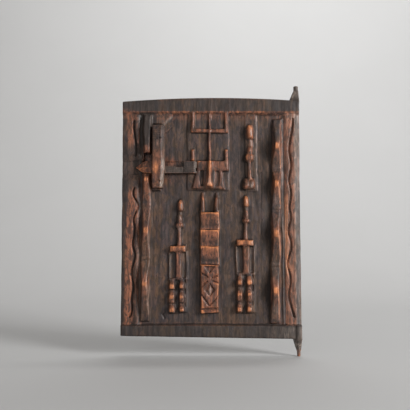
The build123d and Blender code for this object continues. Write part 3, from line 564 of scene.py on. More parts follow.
def wear_and_highlight_group():
    """Bare wood on crests and arrises, with painted highlight laid in with it, broken up by the
    fibres.
    """
    tree, given, result = group(
        "handled_wear", [("Edge", 0.0), ("Breakup", 0.5), ("Amount", 0.5)], ["Worn", "Rubbed"])
    loose = speckle(tree, 260.0, 0.3, 4.0, 0.6, 0.3)
    shift = times(tree, sums(tree, "SUBTRACT", loose, 0.5), given["Breakup"])
    edge = sums(tree, "ADD", given["Edge"], shift)
    start = sums(tree, "SUBTRACT", 1.0, given["Amount"])
    wire(tree, result["Worn"], remap(tree, edge, start, sums(tree, "ADD", start, 0.42)))
    wire(tree, result["Rubbed"], remap(
        tree, edge, sums(tree, "SUBTRACT", start, 0.32), sums(tree, "ADD", start, 0.25)))
    return tree


def grime_and_shadow_group():
    """Soot and oil left in the cuts, thinning out at their mouths, with painted shadow laid in
    with them.
    """
    tree, given, result = group(
        "packed_grime", [("Hollow", 0.0), ("Amount", 0.5)], ["Grime"])
    loose = speckle(tree, 420.0, 0.35, 4.0, 0.65, 0.4)
    shift = times(tree, sums(tree, "SUBTRACT", loose, 0.5), 0.5)
    depth = sums(tree, "ADD", given["Hollow"], shift)
    start = sums(tree, "SUBTRACT", 0.9, given["Amount"])
    wire(tree, result["Grime"], remap(tree, depth, start, sums(tree, "ADD", start, 0.55)))
    return tree


def use(tree, made, **inputs):
    """Place a node group and set or wire its inputs."""
    placed = node(tree, "ShaderNodeGroup", {"node_tree": made})
    for name, value in inputs.items():
        wire(tree, placed.inputs[name], value)
    return placed.outputs


# ---- materials ----

def shared(name, make):
    """One of the node groups, built the first time it is asked for."""
    return bpy.data.node_groups.get(name) or make()


def blank(name):
    """A material with only its shader and output left."""
    made = bpy.data.materials.new(name)
    made.use_nodes = True
    return made, made.node_tree, made.node_tree.nodes["Principled BSDF"]


def carved_wood(name, colours, grain_scale=900.0, wear=0.62, gloss=0.42):
    """Old oiled wood: streaked ground, red rubbed relief, bare crests, black cuts, and the
    painted highlight, shade and shadow that the tones lay in.
    """
    made, tree, shader = blank(name)
    grain = use(tree, shared("wood_grain", grain_group), Scale=grain_scale, Stretch=0.05)
    patches = use(tree, shared("uneven_patches", patch_group), Scale=34.0)
    streaks = use(tree, shared("uneven_patches", patch_group), Scale=150.0, Stretch=0.12,
                  Softness=0.26)

    def painted(layer):
        return node(tree, "ShaderNodeAttribute", {"attribute_name": layer}).outputs["Fac"]

    mottle = sums(tree, "ADD", times(tree, patches["Blotches"], 0.35),
                  times(tree, streaks["Patches"], 0.3))
    mottle = sums(tree, "ADD", mottle, times(tree, patches["Patches"], 0.35))
    colour = blend(tree, remap(tree, mottle, 0.25, 0.75), colours.ground, colours.warm_ground)
    bloom = times(tree, patches["Bloom"], 0.4)
    colour = blend(tree, bloom, colour, colours.bloom)
    uneven = remap(tree, patches["Mottle"], 0.0, 1.0, 0.35, 1.15)
    red = times(tree, painted("red"), uneven, clamp=True)
    colour = blend(tree, red, colour, colours.red_wood)
    # smoked wood, and painted shade under the relief
    smoke = times(tree, painted("smoke"),
                 remap(tree, patches["Patches"], 0.0, 1.0, 1.15, 0.6), clamp=True)
    colour = blend(tree, smoke, colour, colours.dark_wood)
    # bare wood, and painted highlight on the lit flanks and arrises
    worn = use(tree, shared("handled_wear", wear_and_highlight_group), Edge=painted("edge"), Amount=wear)
    colour = blend(tree, times(tree, worn["Rubbed"], 0.6), colour, colours.red_wood)
    colour = blend(tree, worn["Worn"], colour, colours.worn)
    # pale dust, and painted highlight on faces that turn to the light
    dusty = times(tree, painted("dry"),
                 remap(tree, streaks["Blotches"], 0.0, 1.0, 0.35, 0.85), clamp=True)
    colour = blend(tree, dusty, colour, colours.dry)
    fibre_shade = times(tree, remap(tree, grain["Fibres"], 0.0, 1.0, 0.84, 1.14),
                       remap(tree, patches["Mottle"], 0.0, 1.0, 0.78, 1.2))
    fibre_shade = times(tree, fibre_shade,
                       remap(tree, grain["Bundles"], 0.0, 1.0, 0.78, 1.18))
    colour = blend(tree, 1.0, colour, node(
        tree, "ShaderNodeCombineColor", None, Red=fibre_shade, Green=fibre_shade,
        Blue=fibre_shade).outputs[0], "MULTIPLY")
    # soot and oil in the cuts, and painted shadow beside the relief
    grime_and_shadow = use(tree, shared("packed_grime", grime_and_shadow_group), Hollow=painted("hollow"))["Grime"]
    pores = times(tree, grain["Pores"], 0.3)
    colour = blend(tree, sums(tree, "MAXIMUM", grime_and_shadow, pores), colour, colours.grime_and_shadow)
    wire(tree, shader.inputs["Base Color"], colour)
    polish = sums(tree, "SUBTRACT", sums(tree, "MAXIMUM", worn["Rubbed"], red), grime_and_shadow)
    sheen = remap(tree, polish, -1.0, 1.0, gloss + 0.30, gloss - 0.06)
    wire(tree, shader.inputs["Roughness"], sums(
        tree, "ADD", sheen, times(tree, grain["Fibres"], 0.08)))
    bump = node(tree, "ShaderNodeBump", None, Strength=0.5, Distance=0.0002,
                Height=grain["Height"])
    wire(tree, shader.inputs["Normal"], bump.outputs[0])
    shader.inputs["Specular IOR Level"].default_value = 0.5
    return made


def nail_iron(colours):
    """Hand-drawn nail iron, brown with old rust."""
    made, tree, shader = blank("nail_iron")
    rust = use(tree, shared("uneven_patches", patch_group), Scale=600.0, Stretch=1.0)
    colour = blend(tree, rust["Blotches"], colours.iron, RUST)
    wire(tree, shader.inputs["Base Color"], colour)
    wire(tree, shader.inputs["Metallic"], remap(tree, rust["Blotches"], 0.0, 1.0, 0.8, 0.1))
    wire(tree, shader.inputs["Roughness"], remap(tree, rust["Patches"], 0.0, 1.0, 0.45, 0.8))
    return made


def cover(piece, material):
    piece.data.materials.clear()
    piece.data.materials.append(material)


# ---- the leaf ----

class CarveLeaf(bpy.types.Operator):
    """Carve the door leaf: uneven knife work, raised grain, adzed back and wear, with painted
    highlight and shade
    """

    bl_idname = "door.carve_leaf"
    bl_label = "Door leaf"

    def execute(self, context):
        shape, finish = context.scene.door_shape, context.scene.door_finish
        leaf = stand_in("door_leaf", "carved_leaf", "leaf", shape.leaf_voxel)
        mesh = leaf.data
        points = points_of(mesh)
        free = self.free_of_fits(points)
        give = free * (1 - 0.8 * self.crisp_cuts(points))
        rub_down(mesh, 7, 0.1 + 0.45 * give, 0.02 + 0.08 * give)
        self.work_surface(mesh, shape)
        thin_out(leaf, shape.leaf_faces, LEAF_BOX)
        lay_leaf_tones(mesh)
        cover(leaf, carved_wood("leaf_wood", finish))
        return {"FINISHED"}

    @staticmethod
    def free_of_fits(points):
        """1 where the carving may be uneven, 0 on the pivots and around the lock."""
        x, z = points[:, 0] / MM, points[:, 2] / MM
        foot, head = BODY_Z
        body = rise(z, foot, foot + 6.0) * (1 - rise(z, head - 6.0, head))
        lock = band(x, *BOLT_X, 2.0) * band(z, *BOLT_Z, 2.0)
        seat = band(x, *CASE_X, 2.0) * band(z, *CASE_Z, 2.0)
        return body * (1 - np.maximum(lock, seat))

    @staticmethod
    def crisp_cuts(points):
        """1 where the cuts are kept sharp: the diamond panel and the wave grooves."""
        x, z = points[:, 0] / MM, points[:, 2] / MM
        diamonds = band(x, *DIAMONDS_X, 1.0) * band(z, *DIAMONDS_Z, 1.0)
        waves = np.maximum(band(x, *LOCK_BORDER_X, 1.0), band(x, -13.0, -3.0, 1.0))
        return np.maximum(diamonds, waves)

    def work_surface(self, mesh, shape):
        """Knife marks, weathered grain, scored lines and the scalloped back."""
        points, normals = points_of(mesh), normals_of(mesh)
        x, y, z = (points / MM).T
        free = self.free_of_fits(points)
        inner = free * band(x, -186.0, -4.0, 5.0) * band(z, 36.0, 262.0, 6.0)
        flat = points.copy()
        flat[:, 1] = 0
        waver = np.stack([wander(flat, 16.0, 26.0, 8, 2), np.zeros(len(x)),
                          wander(flat, 24.0, 16.0, 9, 2)], axis=1)
        foot, head = BODY_Z
        body = rise(z, foot, foot + 7.0) * (1 - rise(z, head - 5.0, head))
        front = rise(-normals[:, 1], 0.2, 0.7)
        back = rise(y, 6.5, 8.3) * rise(normals[:, 1], 0.5, 0.9)
        knife = wander(points, 9.0, 22.0, 1) * shape.knife_depth
        fibres = wander(points, 1.2, 16.0, 2, 3) * shape.grain_depth
        scallop = -np.abs(wander(points, 15.0, 26.0, 3, 2)) * shape.back_depth
        cut = body * (knife * (1 - back) + fibres * (0.4 + 0.6 * front) + scallop * back)
        for start, end, width, depth in SCORED_LINES:
            cut -= near_line(points, start, end, width) * depth * MM * front
        moved = points + normals * cut[:, None]
        moved += waver * (inner * shape.waver * (y < 2.0))[:, None]
        ahead = 1 - rise(y, FIELD_Y + 0.5, FIELD_Y + 2.5)
        tier = band(z, *BOXES_Z, 2.0) * ahead
        moved[:, 0] -= 1.1 * MM * spot(x, z, *UPPER_HEAD) * ahead
        moved[:, 0] += 0.8 * MM * band(x, *BOX_RIGHT_X, 4.0) * tier
        moved[:, 0] -= 0.45 * MM * band(x, *BOX_LEFT_X, 4.0) * tier
        put_points(mesh, moved, LEAF_BOX)


# ---- tones of the leaf ----

def leaf_masks(mesh):
    """Where each point of the leaf lies and how it faces, from 0 to 1; lengths are in mm."""
    points, normals = points_of(mesh), normals_of(mesh)
    x, y, z = (points / MM).T
    right, toward, upward = normals[:, 0], -normals[:, 1], normals[:, 2]
    m = SimpleNamespace(points=points, x=x, z=z, height=FIELD_Y - y)
    m.near = bulge(mesh, points, normals, 14)
    m.wide = bulge(mesh, points, normals, 90)
    m.arris = rise(m.near, 0.03, 0.22)
    m.ahead = 1 - rise(y, 3.0, 6.5)
    m.front = rise(toward, -0.1, 0.5)
    m.facing = rise(toward, 0.35, 0.9)
    m.rightward = rise(right, 0.15, 0.55) * rise(toward, 0.1, 0.5)
    m.up, m.down = rise(upward, 0.1, 0.5), rise(-upward, 0.12, 0.5)
    m.tall = rise(m.height, 1.6, 5.0)
    m.low = 1 - m.tall

    m.top_rail = rise(z, TOP_RAIL - 0.6, TOP_RAIL + 0.6)
    m.rails = np.maximum(1 - rise(z, BOTTOM_RAIL - 0.6, BOTTOM_RAIL + 0.6), m.top_rail)
    m.between = 1 - m.rails
    m.under_head = band(z, TOP_RAIL - 7.0, TOP_RAIL, 2.0)
    m.hinge_half = rise(x, -100.0, -90.0)
    border_edge = np.interp(z, *LOCK_BORDER_EDGE)
    m.lock_border = (rise(x, border_edge - 1.0, border_edge + 0.8)
                     * (1 - rise(x, -181.8, -180.6)))
    m.hinge_border = band(x, *HINGE_BORDER_X, 1.2)
    m.border_crest = band(x, *BORDER_CREST_X, 0.9) * m.between * m.front
    m.border_crest *= 0.3 + 0.7 * band(z, 96.0, 166.0, 16.0)
    m.bed = band(z, *BED_Z, 12.0) * (x < -172.0)
    m.ridges = np.maximum(band(x, *LOCK_RIDGE_X, 1.0), band(x, *HINGE_RIDGE_X, 1.0))
    m.middle = band(x, *MIDDLE_X, 2.0)
    m.column = band(x, *COLUMN_X, 0.5)
    m.boxes = band(x, *BOXES_X, 0.5) * band(z, *BOXES_Z, 0.5)
    m.legs = band(z, *LEGS_Z, 1.5) * m.middle * (1 - m.column)
    m.stools = band(z, *STOOLS_Z, 1.5) * m.middle * (1 - m.column)
    m.heads = np.maximum.reduce(touches(m, HEADS))
    m.box_lips = m.boxes * np.maximum.reduce(
        [band(z, foot_z - 0.4, foot_z + 1.1, 0.7) for foot_z in BOX_FEET])
    ridge_masks(m)
    return m


def ridge_masks(m):
    """Add what hangs on the ridges' peaks: bare crests, flanks that take painted highlight, warm
    parts and painted shadow lobes.
    """
    m.crest, m.below, m.warm_ridge, m.ridge_shade = np.zeros((4, len(m.x)))
    for peaks, line, shares in (
            (LOCK_PEAKS, LOCK_CREST, (0.7, 0.95, 0.6, 0.25)),
            (HINGE_PEAKS, HINGE_CREST, (1.0, 1.0, 1.0, 1.0))):
        for peak, share in zip(peaks, shares):
            crest_x = np.interp(peak, (BOTTOM_RAIL, TOP_RAIL), line)
            near_it = np.abs(m.x - crest_x) < 9.0
            flank_length = 34.0 if peak > 80.0 else 56.0  # the lowest flank runs to the rail
            under = (rise(m.z, peak - flank_length, peak - 20.0)
                     * (1 - rise(m.z, peak - 3.0, peak + 1.0)))
            warm = near_it * np.exp(-((m.z - peak) / 12.0) ** 2)
            shade = np.exp(-((m.z - peak + 3.0) / 14.0) ** 2)
            m.crest = np.maximum(m.crest, share * spot(m.x, m.z, (crest_x, peak), (4.8, 4.2)))
            m.below = np.maximum(m.below, share * under * near_it)
            m.warm_ridge = np.maximum(m.warm_ridge, warm)
            m.ridge_shade = np.maximum(m.ridge_shade, shade)
    # painted highlight on the ridges' flanks that face the hinge, strongest below the peaks
    m.flank = m.ridges * m.rightward * rise(m.height, 1.0, 2.6) * (0.2 + 0.8 * m.below)
    m.flank *= m.between


def red_tone(m):
    """Warm wood: the borders, the tall relief and what hands rub round the lock."""
    lock_border = 0.8 * m.lock_border * (1 - 0.25 * rise(m.z, 205.0, 225.0))
    lock_border += 0.65 * band(m.x, -181.4, -175.0, 1.0)
    facets = 0.4 * rise(m.z, 174.0, 180.0) + 0.4 * band(m.x, -20.5, -17.0, 0.8)
    red = np.maximum.reduce([
        m.between * m.front * np.maximum(lock_border * (1 - 0.85 * m.bed), m.hinge_border),
        0.6 * m.middle * m.tall * m.front * m.between,
        0.85 * m.boxes * rise(m.height, 4.6, 7.2) * m.facing,
        m.ridges * m.tall * (0.22 + 0.38 * m.warm_ridge) * (m.z < 229.0)])
    red += 0.1 * m.between + 0.35 * m.under_head * (1 - rise(m.height, 3.4, 4.2))
    red += m.between * m.rightward * facets
    return red + sum(touches(m, RED_TOUCHES))


def smoke_and_shade_tone(m):
    """Soot on the rails, in the bolt's bed and over the ground; darker on the low ground among
    the figures and on the legs' waists; painted shade on the boxes' lower parts, the mask's sunk
    parts and the undersides of legs and boxes.
    """
    smoke = 0.7 * m.rails + 0.35 * m.between * band(m.x, -17.6, -15.4, 0.8)
    smoke += 0.15 * m.between * band(m.x, LOCK_EDGE_X, LOCK_EDGE_X + 5.5, 1.0)
    smoke += 0.55 * m.bed * m.between
    smoke += 0.35 * m.between * band(m.x, -130.0, -36.0, 14.0) * (1 - rise(m.height, 0.6, 1.8))
    smoke += 0.8 * m.ridges * rise(m.z, 227.0, 231.0) * (m.x < -100.0)
    smoke += 0.2 * m.ridges * (1 - m.warm_ridge) * m.between
    # painted shade on the lower part of each box
    smoke += 0.32 * m.boxes * (1 - rise(m.height, 4.9, 5.9))
    for foot_z in BOX_FEET:
        smoke += 0.3 * m.boxes * band(m.z, foot_z + 5.0, foot_z + 10.0, 1.2)
    smoke *= 1 - 0.8 * m.box_lips
    smoke += (0.6 * spot(m.x, m.z, (-99.0, 195.0), (22.0, 13.0))  # painted shade on the sunk parts of the mask
              * (1 - rise(m.height, 5.0, 7.0)))
    # painted shade on the undersides of the legs and boxes
    smoke += 0.5 * m.down * m.middle * m.tall * (m.legs + m.boxes)
    smoke += 0.6 * m.legs * m.tall * (1 - rise(m.height, 4.4, 5.4))
    smoke -= 0.15 * m.top_rail * (1 - rise(m.x, -165.0, -140.0))
    return smoke + m.front * sum(touches(m, SMOKED_AND_SHADED_TOUCHES))


def wear_and_highlight_tone(m):
    """Rubbed bare wood on crests, arrises, knops and the tip of the foot, with painted highlight
    on the flanks and arrises that face the hinge and on the tall relief's upward faces.
    """
    top = np.maximum(
        m.crest * rise(m.height, 6.6, 9.0),
        0.52 * m.middle * rise(m.height, 5.6, 7.6) * (1 - m.legs)) * m.facing
    top *= 1 - 0.3 * m.boxes * rise(m.z, 112.0, 150.0)
    top *= 1 - 0.4 * spot(m.x, m.z, (-128.0, 115.0), (14.0, 6.0))  # seat of the first figure
    knops = (0.8 - 0.25 * rise(m.x, -80.0, -70.0)) * m.legs * m.facing
    knops *= rise(m.height, 6.0, 7.0) * rise(m.near, 0.1, 0.35)
    lip = band(m.z, TOP_RAIL - 0.4, TOP_RAIL + 1.0, 0.7) * rise(m.near, 0.03, 0.25)
    foot = band(m.z, BOTTOM_RAIL + 1.4, BOTTOM_RAIL + 2.8, 0.7) * m.front
    edge = np.maximum(top, knops)
    edge += 0.34 * rise(m.wide, 0.5, 2.0) * m.middle * m.between * (1 - 0.6 * m.legs)
    # rubbed arrises, and painted highlight on the tall relief's faces that look up
    edge += 0.12 * rise(m.near, 0.08, 0.5) + 0.22 * m.up * m.middle * rise(m.height, 3.0, 6.0)
    edge += 0.2 * m.hinge_border * m.between + 0.5 * m.border_crest
    # painted highlight on the ridges' flanks that face the hinge
    edge += (0.45 + 0.35 * m.hinge_half) * m.flank
    edge += 0.14 * m.middle * m.tall * rise(m.z, 206.0, 212.0) + 0.35 * m.heads * m.tall
    # the boxes' lips, and painted highlight on their arrises that face the hinge
    edge += 0.4 * m.box_lips * rise(m.height, 2.6, 4.0) + 0.35 * m.boxes * m.rightward * m.arris
    edge += 0.29 * lip + 0.22 * foot + 0.42 * (1 - rise(m.z, 6.0, 10.0)) * m.front
    return edge + sum(touches(m, BARE_AND_LIT_TOUCHES))


def dust_and_highlight_tone(m):
    """Painted highlight on arrises, flanks and facets that face the hinge and on the pale
    touches, and pale dusty wood on the hinge edge and the horns.
    """
    # painted highlight on the arrises that face the hinge
    arrises = 0.45 * m.rightward * rise(m.height, 2.4, 6.0) * m.arris * m.between
    arrises *= (1 - m.ridges) * rise(m.x, -172.0, -168.0) * (1 - 0.8 * m.column)
    arrises *= (1 - 0.75 * rise(m.z, 174.0, 180.0)) * (1 - rise(m.heads, 0.1, 0.3))
    arrises *= 1 - spot(m.x, m.z, (-161.5, 260.0), (4.0, 9.0))  # ridge beside the case's head
    hinge_edge = 0.4 * band(m.x, -3.6, 3.0, 1.0) + 0.26 * m.hinge_border
    horns = 0.6 * rise(m.z, 282.0, 284.0) + 0.95 * band(m.z, 9.0, 13.0, 3.0)
    bottom_rail = 0.4 * rise(m.x, -40.0, -8.0) * (1 - rise(m.z, 30.0, 33.0))
    raised = rise(m.height, 0.8, 1.6) * m.front
    # painted highlight on the flanks, the boxes' and stools' arrises and the touches; pale wood
    # on the hinge edge, horns and bottom rail
    return np.maximum.reduce([
        arrises,
        (0.9 - 0.3 * m.hinge_half) * m.flank,
        0.45 * m.border_crest,
        0.5 * m.boxes * m.rightward * m.arris,
        raised * np.maximum.reduce(touches(m, DUST_AND_HIGHLIGHT_TOUCHES)),
        hinge_edge * m.front * m.between,
        horns * m.front,
        bottom_rail * m.front,
        0.6 * m.stools * m.rightward * m.arris * rise(m.height, 1.0, 2.0),
        0.95 * near_line(m.points, *LINTEL_SLOPE)])


def cut_grime_and_shadow_tone(m):
    """Soot and oil in cuts and inner corners, painted shadow on the ground beside the relief and
    on the lock border's fall, and a darker strip right of the upper figure.
    """
    hollow = 0.7 * rise(-m.near, 0.06, 0.36) + 0.25 * rise(-m.wide, 0.9, 2.6)
    hollow *= (1 - 0.8 * m.under_head) * (1 - 0.5 * m.stools)
    for clean in touches(m, CLEAN_TOUCHES):
        hollow *= 1 - clean
    for left, right, feather, share in CLEAN_STRIPS:
        hollow *= 1 - share * band(m.x, left, right, feather)
    # painted shadow of the lock ridge on the border's fall
    fall = 0.7 - 0.5 * band(m.z, 145.0, 190.0, 12.0)
    hollow += fall * band(m.x, *FALL_X, 1.0) * m.between
    # painted shadow beside the hinge ridge, the upper figure, the heads and the mask
    painted_shadow = np.maximum.reduce([
        band(m.x, -40.0, -31.0, 5.0) * (0.7 + 0.7 * m.ridge_shade),
        1.3 * band(m.x, -62.5, -57.5, 2.0) * band(m.z, 182.0, 250.0, 5.0),
        *touches(m, PAINTED_SHADOWS)])
    hollow += 0.55 * painted_shadow * m.between * np.where(m.z > 186.0, 1.0, m.low)
    # a darker strip right of the upper figure
    hollow += 0.22 * band(m.x, -48.5, -44.5, 0.8) * band(m.z, 176.0, 262.0, 3.0)
    hollow += 0.3 * spot(m.x, m.z, (-161.5, 261.0), (3.5, 7.0))  # painted shade on the ridge beside the case's head
    foot = band(m.z, BOTTOM_RAIL, BOTTOM_RAIL + 0.6, 0.8) * m.front
    return np.maximum(hollow, 0.7 * foot)


def lay_leaf_tones(mesh):
    """Paint where the wood is red, smoked, rubbed bare, pale and packed with soot, with painted
    highlight, shade and shadow laid in with them.
    """
    m = leaf_masks(mesh)
    back_arrises = 0.3 * rise(m.near, 0.08, 0.5)
    for name, tone, on_back in (
            ("red", red_tone(m), 0.12), ("smoke", smoke_and_shade_tone(m), 0.3),
            ("edge", wear_and_highlight_tone(m), back_arrises), ("dry", dust_and_highlight_tone(m), 0.0)):
        paint(mesh, name, tone * m.ahead + on_back * (1 - m.ahead))
    paint(mesh, "hollow", cut_grime_and_shadow_tone(m))


# ---- the lock ----

def furrows(height, pitch, sharpness):
    """Depth from 0 to 1 of even furrows up a piece; the sharper they are, the narrower."""
    return (0.5 + 0.5 * np.cos(height * 2 * math.pi / pitch)) ** sharpness


def lock_tones(mesh, red, smoke, bare, dry):
    """Tones of a lock piece: red, smoked, bare, and pale with painted highlight where given,
    black in the cuts.
    """
    points, normals = points_of(mesh), normals_of(mesh)
    near, wide = bulge(mesh, points, normals, 20), bulge(mesh, points, normals, 160)
    paint(mesh, "red", red)
    paint(mesh, "smoke", smoke)
    paint(mesh, "edge", rise(near, 0.02, 0.3) * 0.3 + rise(wide, 0.3, 1.6) * 0.3 + bare)
    paint(mesh, "dry", dry)
    paint(mesh, "hollow", rise(-near, 0.02, 0.3) * 0.6 + rise(-wide, 0.1, 1.2) * 0.4)


class FitCase(bpy.types.Operator):
    """Whittle the lock case, with the fine cross ridging of its neck"""

    bl_idname = "door.fit_case"
    bl_label = "Lock case"

    @staticmethod
    def bores(points):
        """1 round the bores of the tumblers, behind the case's front."""
        x, y, z = (points / MM).T
        return band(x, *BORES_X, 0.5) * band(z, *BORES_Z, 1.5) * rise(y, *BORES_Y)

    def execute(self, context):
        shape, finish = context.scene.door_shape, context.scene.door_finish
        case = stand_in("lock_case", "whittled_case", "leaf", shape.lock_voxel)
        mesh = case.data
        points = points_of(mesh)
        bores = self.bores(points)
        inside = np.maximum(rise(points[:, 1] / MM, *FITS_Y), bores)
        rub_down(mesh, 12, 0.5 * (1 - inside), 0.12 * (1 - inside))
        points, normals = points_of(mesh), normals_of(mesh)
        x, _, z = (points / MM).T
        front = rise(-normals[:, 1], 0.5, 0.9)
        neck = band(z, *NECK_Z, 1.0) * band(x, *NECK_X, 1.0)
        ridging = -RIDGING_DEPTH * MM * furrows(z, RIDGING_PITCH, 2) * neck * front
        knife = wander(points, 7.0, 16.0, 4) * CASE_KNIFE * MM * front
        fibres = wander(points, 1.1, 26.0, 5, 2) * CASE_FIBRES * MM
        cut = ridging + (knife + fibres) * (1 - inside) - BORE_ROOM * MM * bores
        put_points(mesh, points + normals * cut[:, None], CASE_BOX)
        thin_out(case, CASE_FACES, CASE_BOX)
        self.lay_tones(mesh)
        cover(case, carved_wood("case_wood", finish, LOCK_GRAIN))
        return {"FINISHED"}

    @staticmethod
    def lay_tones(mesh):
        """Red and bare wood on the swell, smoked wood over it, and a painted highlight on the
        facet on its right.
        """
        points, normals = points_of(mesh), normals_of(mesh)
        x, _, z = (points / MM).T
        front = rise(-normals[:, 1], 0.3, 0.8)
        # painted highlight on the facet that faces the hinge
        facet = rise(normals[:, 0], 0.3, 0.6) * rise(-normals[:, 1], 0.2, 0.5)
        facet *= rise(z, 180.0, 186.0) * (1 - rise(z, 204.0, 222.0))
        patch = band(x, *PATCH_X, 0.5) * band(z, *PATCH_Z, 0.6) * front
        red = 0.2 + 0.6 * spot(x, z, *HANDLED) + 0.4 * patch
        bare = 0.72 * spot(x, z, *SWELL) * front + 0.2 * patch
        lock_tones(mesh, red, 0.45 * rise(z, 214.0, 228.0), bare, 1.15 * facet + 0.3 * patch)


class FitBolt(bpy.types.Operator):
    """Whittle the sliding bolt, scored along its shank and tail"""

    bl_idname = "door.fit_bolt"
    bl_label = "Lock bolt"

    def execute(self, context):
        shape, finish = context.scene.door_shape, context.scene.door_finish
        bolt = stand_in("lock_bolt", "whittled_bolt", "bolt", shape.lock_voxel)
        mesh = bolt.data
        rub_down(mesh, 5, 0.5, 0.1)
        points, normals = points_of(mesh), normals_of(mesh)
        x, _, z = (points / MM).T
        scored = rise(x, -146.0, -143.0) * rise(-normals[:, 1], 0.6, 0.95)
        lines = -SCORING_DEPTH * MM * furrows(z, SCORING_PITCH, 3) * scored
        knife = np.minimum(wander(points, 6.0, 6.0, 6), 0.0) * BOLT_KNIFE * MM
        put_points(mesh, points + normals * (lines + knife)[:, None], BOLT_BOX)
        thin_out(bolt, BOLT_FACES, BOLT_BOX)
        self.lay_tones(mesh)
        cover(bolt, carved_wood("bolt_wood", finish, LOCK_GRAIN))
        return {"FINISHED"}

    @staticmethod
    def lay_tones(mesh):
        """A red head, rubbed bare underneath, and a smoked tail with a painted highlight on its
        end facet.
        """
        points, normals = points_of(mesh), normals_of(mesh)
        x, right, toward = points[:, 0] / MM, normals[:, 0], -normals[:, 1]
        head = 1 - rise(x, -162.0, -158.0)
        tail = rise(x, -146.0, -140.0)
        under = rise(-normals[:, 2], 0.05, 0.4) * rise(toward, 0.2, 0.6) * head
        # painted highlight on the tail's end facet
        facet = rise(right, 0.3, 0.6) * rise(toward, 0.2, 0.5) * tail
        shank = band(x, -160.0, -126.0, 3.0) * rise(toward, 0.6, 0.9)
        lock_tones(mesh, 0.95 * head + 0.1, 0.85 * tail, 0.95 * under, 0.4 * facet + 0.2 * shank)


class FinishPins(bpy.types.Operator):
    """Give the tumblers and the two case nails their finish"""

    bl_idname = "door.finish_pins"
    bl_label = "Tumblers and nails"

    def execute(self, context):
        finish = context.scene.door_finish
        wood, iron = carved_wood("tumbler_wood", finish, TUMBLER_GRAIN), nail_iron(finish)
        for name in ("tumbler_left", "tumbler_right"):
            cover(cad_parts[name], wood)
        for name in ("upper_case_nail", "lower_case_nail"):
            cover(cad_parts[name], iron)
        return {"FINISHED"}


# ---- stage ----

def soft_light(name, place, target, size, power):
    """A square softbox at a place, turned to its target."""
    lamp = bpy.data.lights.new(name, "AREA")
    lamp.size, lamp.energy = size, power
    made = bpy.data.objects.new(name, lamp)
    made.location = place
    aim = Vector(target) - Vector(place)
    made.rotation_euler = aim.to_track_quat("-Z", "Y").to_euler()
    bpy.context.scene.collection.objects.link(made)


def paper_sweep():
    """Pale paper that runs under the door and curves up behind it."""
    front_y, bend_y, bend_radius, wall_height = -3.5, 0.55, 1.5, 3.5
    half_width = 4.0
    deselect()
    bpy.ops.mesh.primitive_plane_add(size=1, location=(0, 0, 0))
    sweep = bpy.context.object
    sweep.name = "paper_sweep"
    floor_z = CAD_BOX[0][2]
    for corner in sweep.data.vertices:
        corner.co = Vector((
            half_width * (1 if corner.co.x > 0 else -1),
            bend_y if corner.co.y > 0 else front_y, floor_z))
    bpy.ops.object.mode_set(mode="EDIT")
    bpy.ops.mesh.select_all(action="DESELECT")
    bpy.ops.mesh.select_mode(type="EDGE")
    bpy.ops.object.mode_set(mode="OBJECT")
    for edge in sweep.data.edges:
        ends = [sweep.data.vertices[i].co.y for i in edge.vertices]
        edge.select = min(ends) > bend_y - 0.01
    bpy.ops.object.mode_set(mode="EDIT")
    bpy.ops.mesh.spin(steps=40, angle=-math.pi / 2, axis=(1, 0, 0),
                      center=(0, bend_y, floor_z + bend_radius))
    bpy.ops.mesh.extrude_region_move(
        TRANSFORM_OT_translate={"value": (0, 0, wall_height)})
    bpy.ops.mesh.select_all(action="SELECT")
    bpy.ops.mesh.normals_make_consistent(inside=False)
    bpy.ops.object.mode_set(mode="OBJECT")
    bpy.ops.object.shade_smooth()
    made, tree, shader = blank("pale_paper")
    fleck = use(tree, shared("uneven_patches", patch_group), Scale=3.0, Stretch=1.0)
    wire(tree, shader.inputs["Base Color"], blend(tree, fleck["Patches"], *PAPER_COLOURS))
    shader.inputs["Roughness"].default_value = 0.9
    shader.inputs["Specular IOR Level"].default_value = 0.2
    cover(sweep, made)


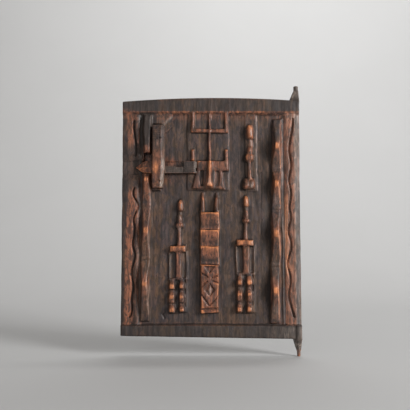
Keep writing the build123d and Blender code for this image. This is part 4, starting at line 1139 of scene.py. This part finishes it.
class SetStage(bpy.types.Operator):
    """Set up the paper sweep, the soft lights and the camera"""

    bl_idname = "door.set_stage"
    bl_label = "Stage"

    def execute(self, context):
        studio = context.scene.door_studio
        paper_sweep()
        for name, place, target, size in LIGHTS:
            soft_light(name + "_light", place, target, size, getattr(studio, name + "_power"))
        world = bpy.data.worlds.new("studio_air")
        world.use_nodes = True
        air = world.node_tree.nodes["Background"]
        air.inputs[0].default_value = AIR_COLOUR
        air.inputs[1].default_value = studio.air
        context.scene.world = world
        lens = bpy.data.cameras.new("camera")
        lens.lens, lens.sensor_width = studio.lens, SENSOR_WIDTH
        camera = bpy.data.objects.new("camera", lens)
        camera.location = studio.eye
        camera.rotation_euler = (math.pi / 2 + studio.pitch, 0.0, 0.0)
        context.scene.collection.objects.link(camera)
        context.scene.camera = camera
        context.scene.view_settings.view_transform = "Standard"
        return {"FINISHED"}


# ---- panel and running ----

class DoorPanel(bpy.types.Panel):
    """Lists the door's pieces and their settings"""

    bl_idname = "VIEW3D_PT_granary_door"
    bl_label = "Granary door"
    bl_space_type = "VIEW_3D"
    bl_region_type = "UI"
    bl_category = "Granary door"

    def draw(self, context):
        layout = self.layout
        for step in STEPS:
            layout.operator(step.bl_idname)
        for settings in SETTINGS:
            held = getattr(context.scene, settings)
            box = layout.box()
            for name in held.__annotations__:
                box.prop(held, name)


STEPS = (CarveLeaf, FitCase, FitBolt, FinishPins, SetStage)
SETTINGS = {"door_shape": DoorShape, "door_finish": DoorFinish, "door_studio": DoorStudio}
CLASSES = (*SETTINGS.values(), *STEPS, DoorPanel)


def register():
    for made in CLASSES:
        bpy.utils.register_class(made)
    for name, made in SETTINGS.items():
        setattr(bpy.types.Scene, name, bpy.props.PointerProperty(type=made))


def unregister():
    for name in SETTINGS:
        delattr(bpy.types.Scene, name)
    for made in reversed(CLASSES):
        bpy.utils.unregister_class(made)


def main():
    register()
    bpy.ops.door.carve_leaf()
    bpy.ops.door.fit_case()
    bpy.ops.door.fit_bolt()
    bpy.ops.door.finish_pins()
    bpy.ops.door.set_stage()


if __name__ == "__main__":
    main()
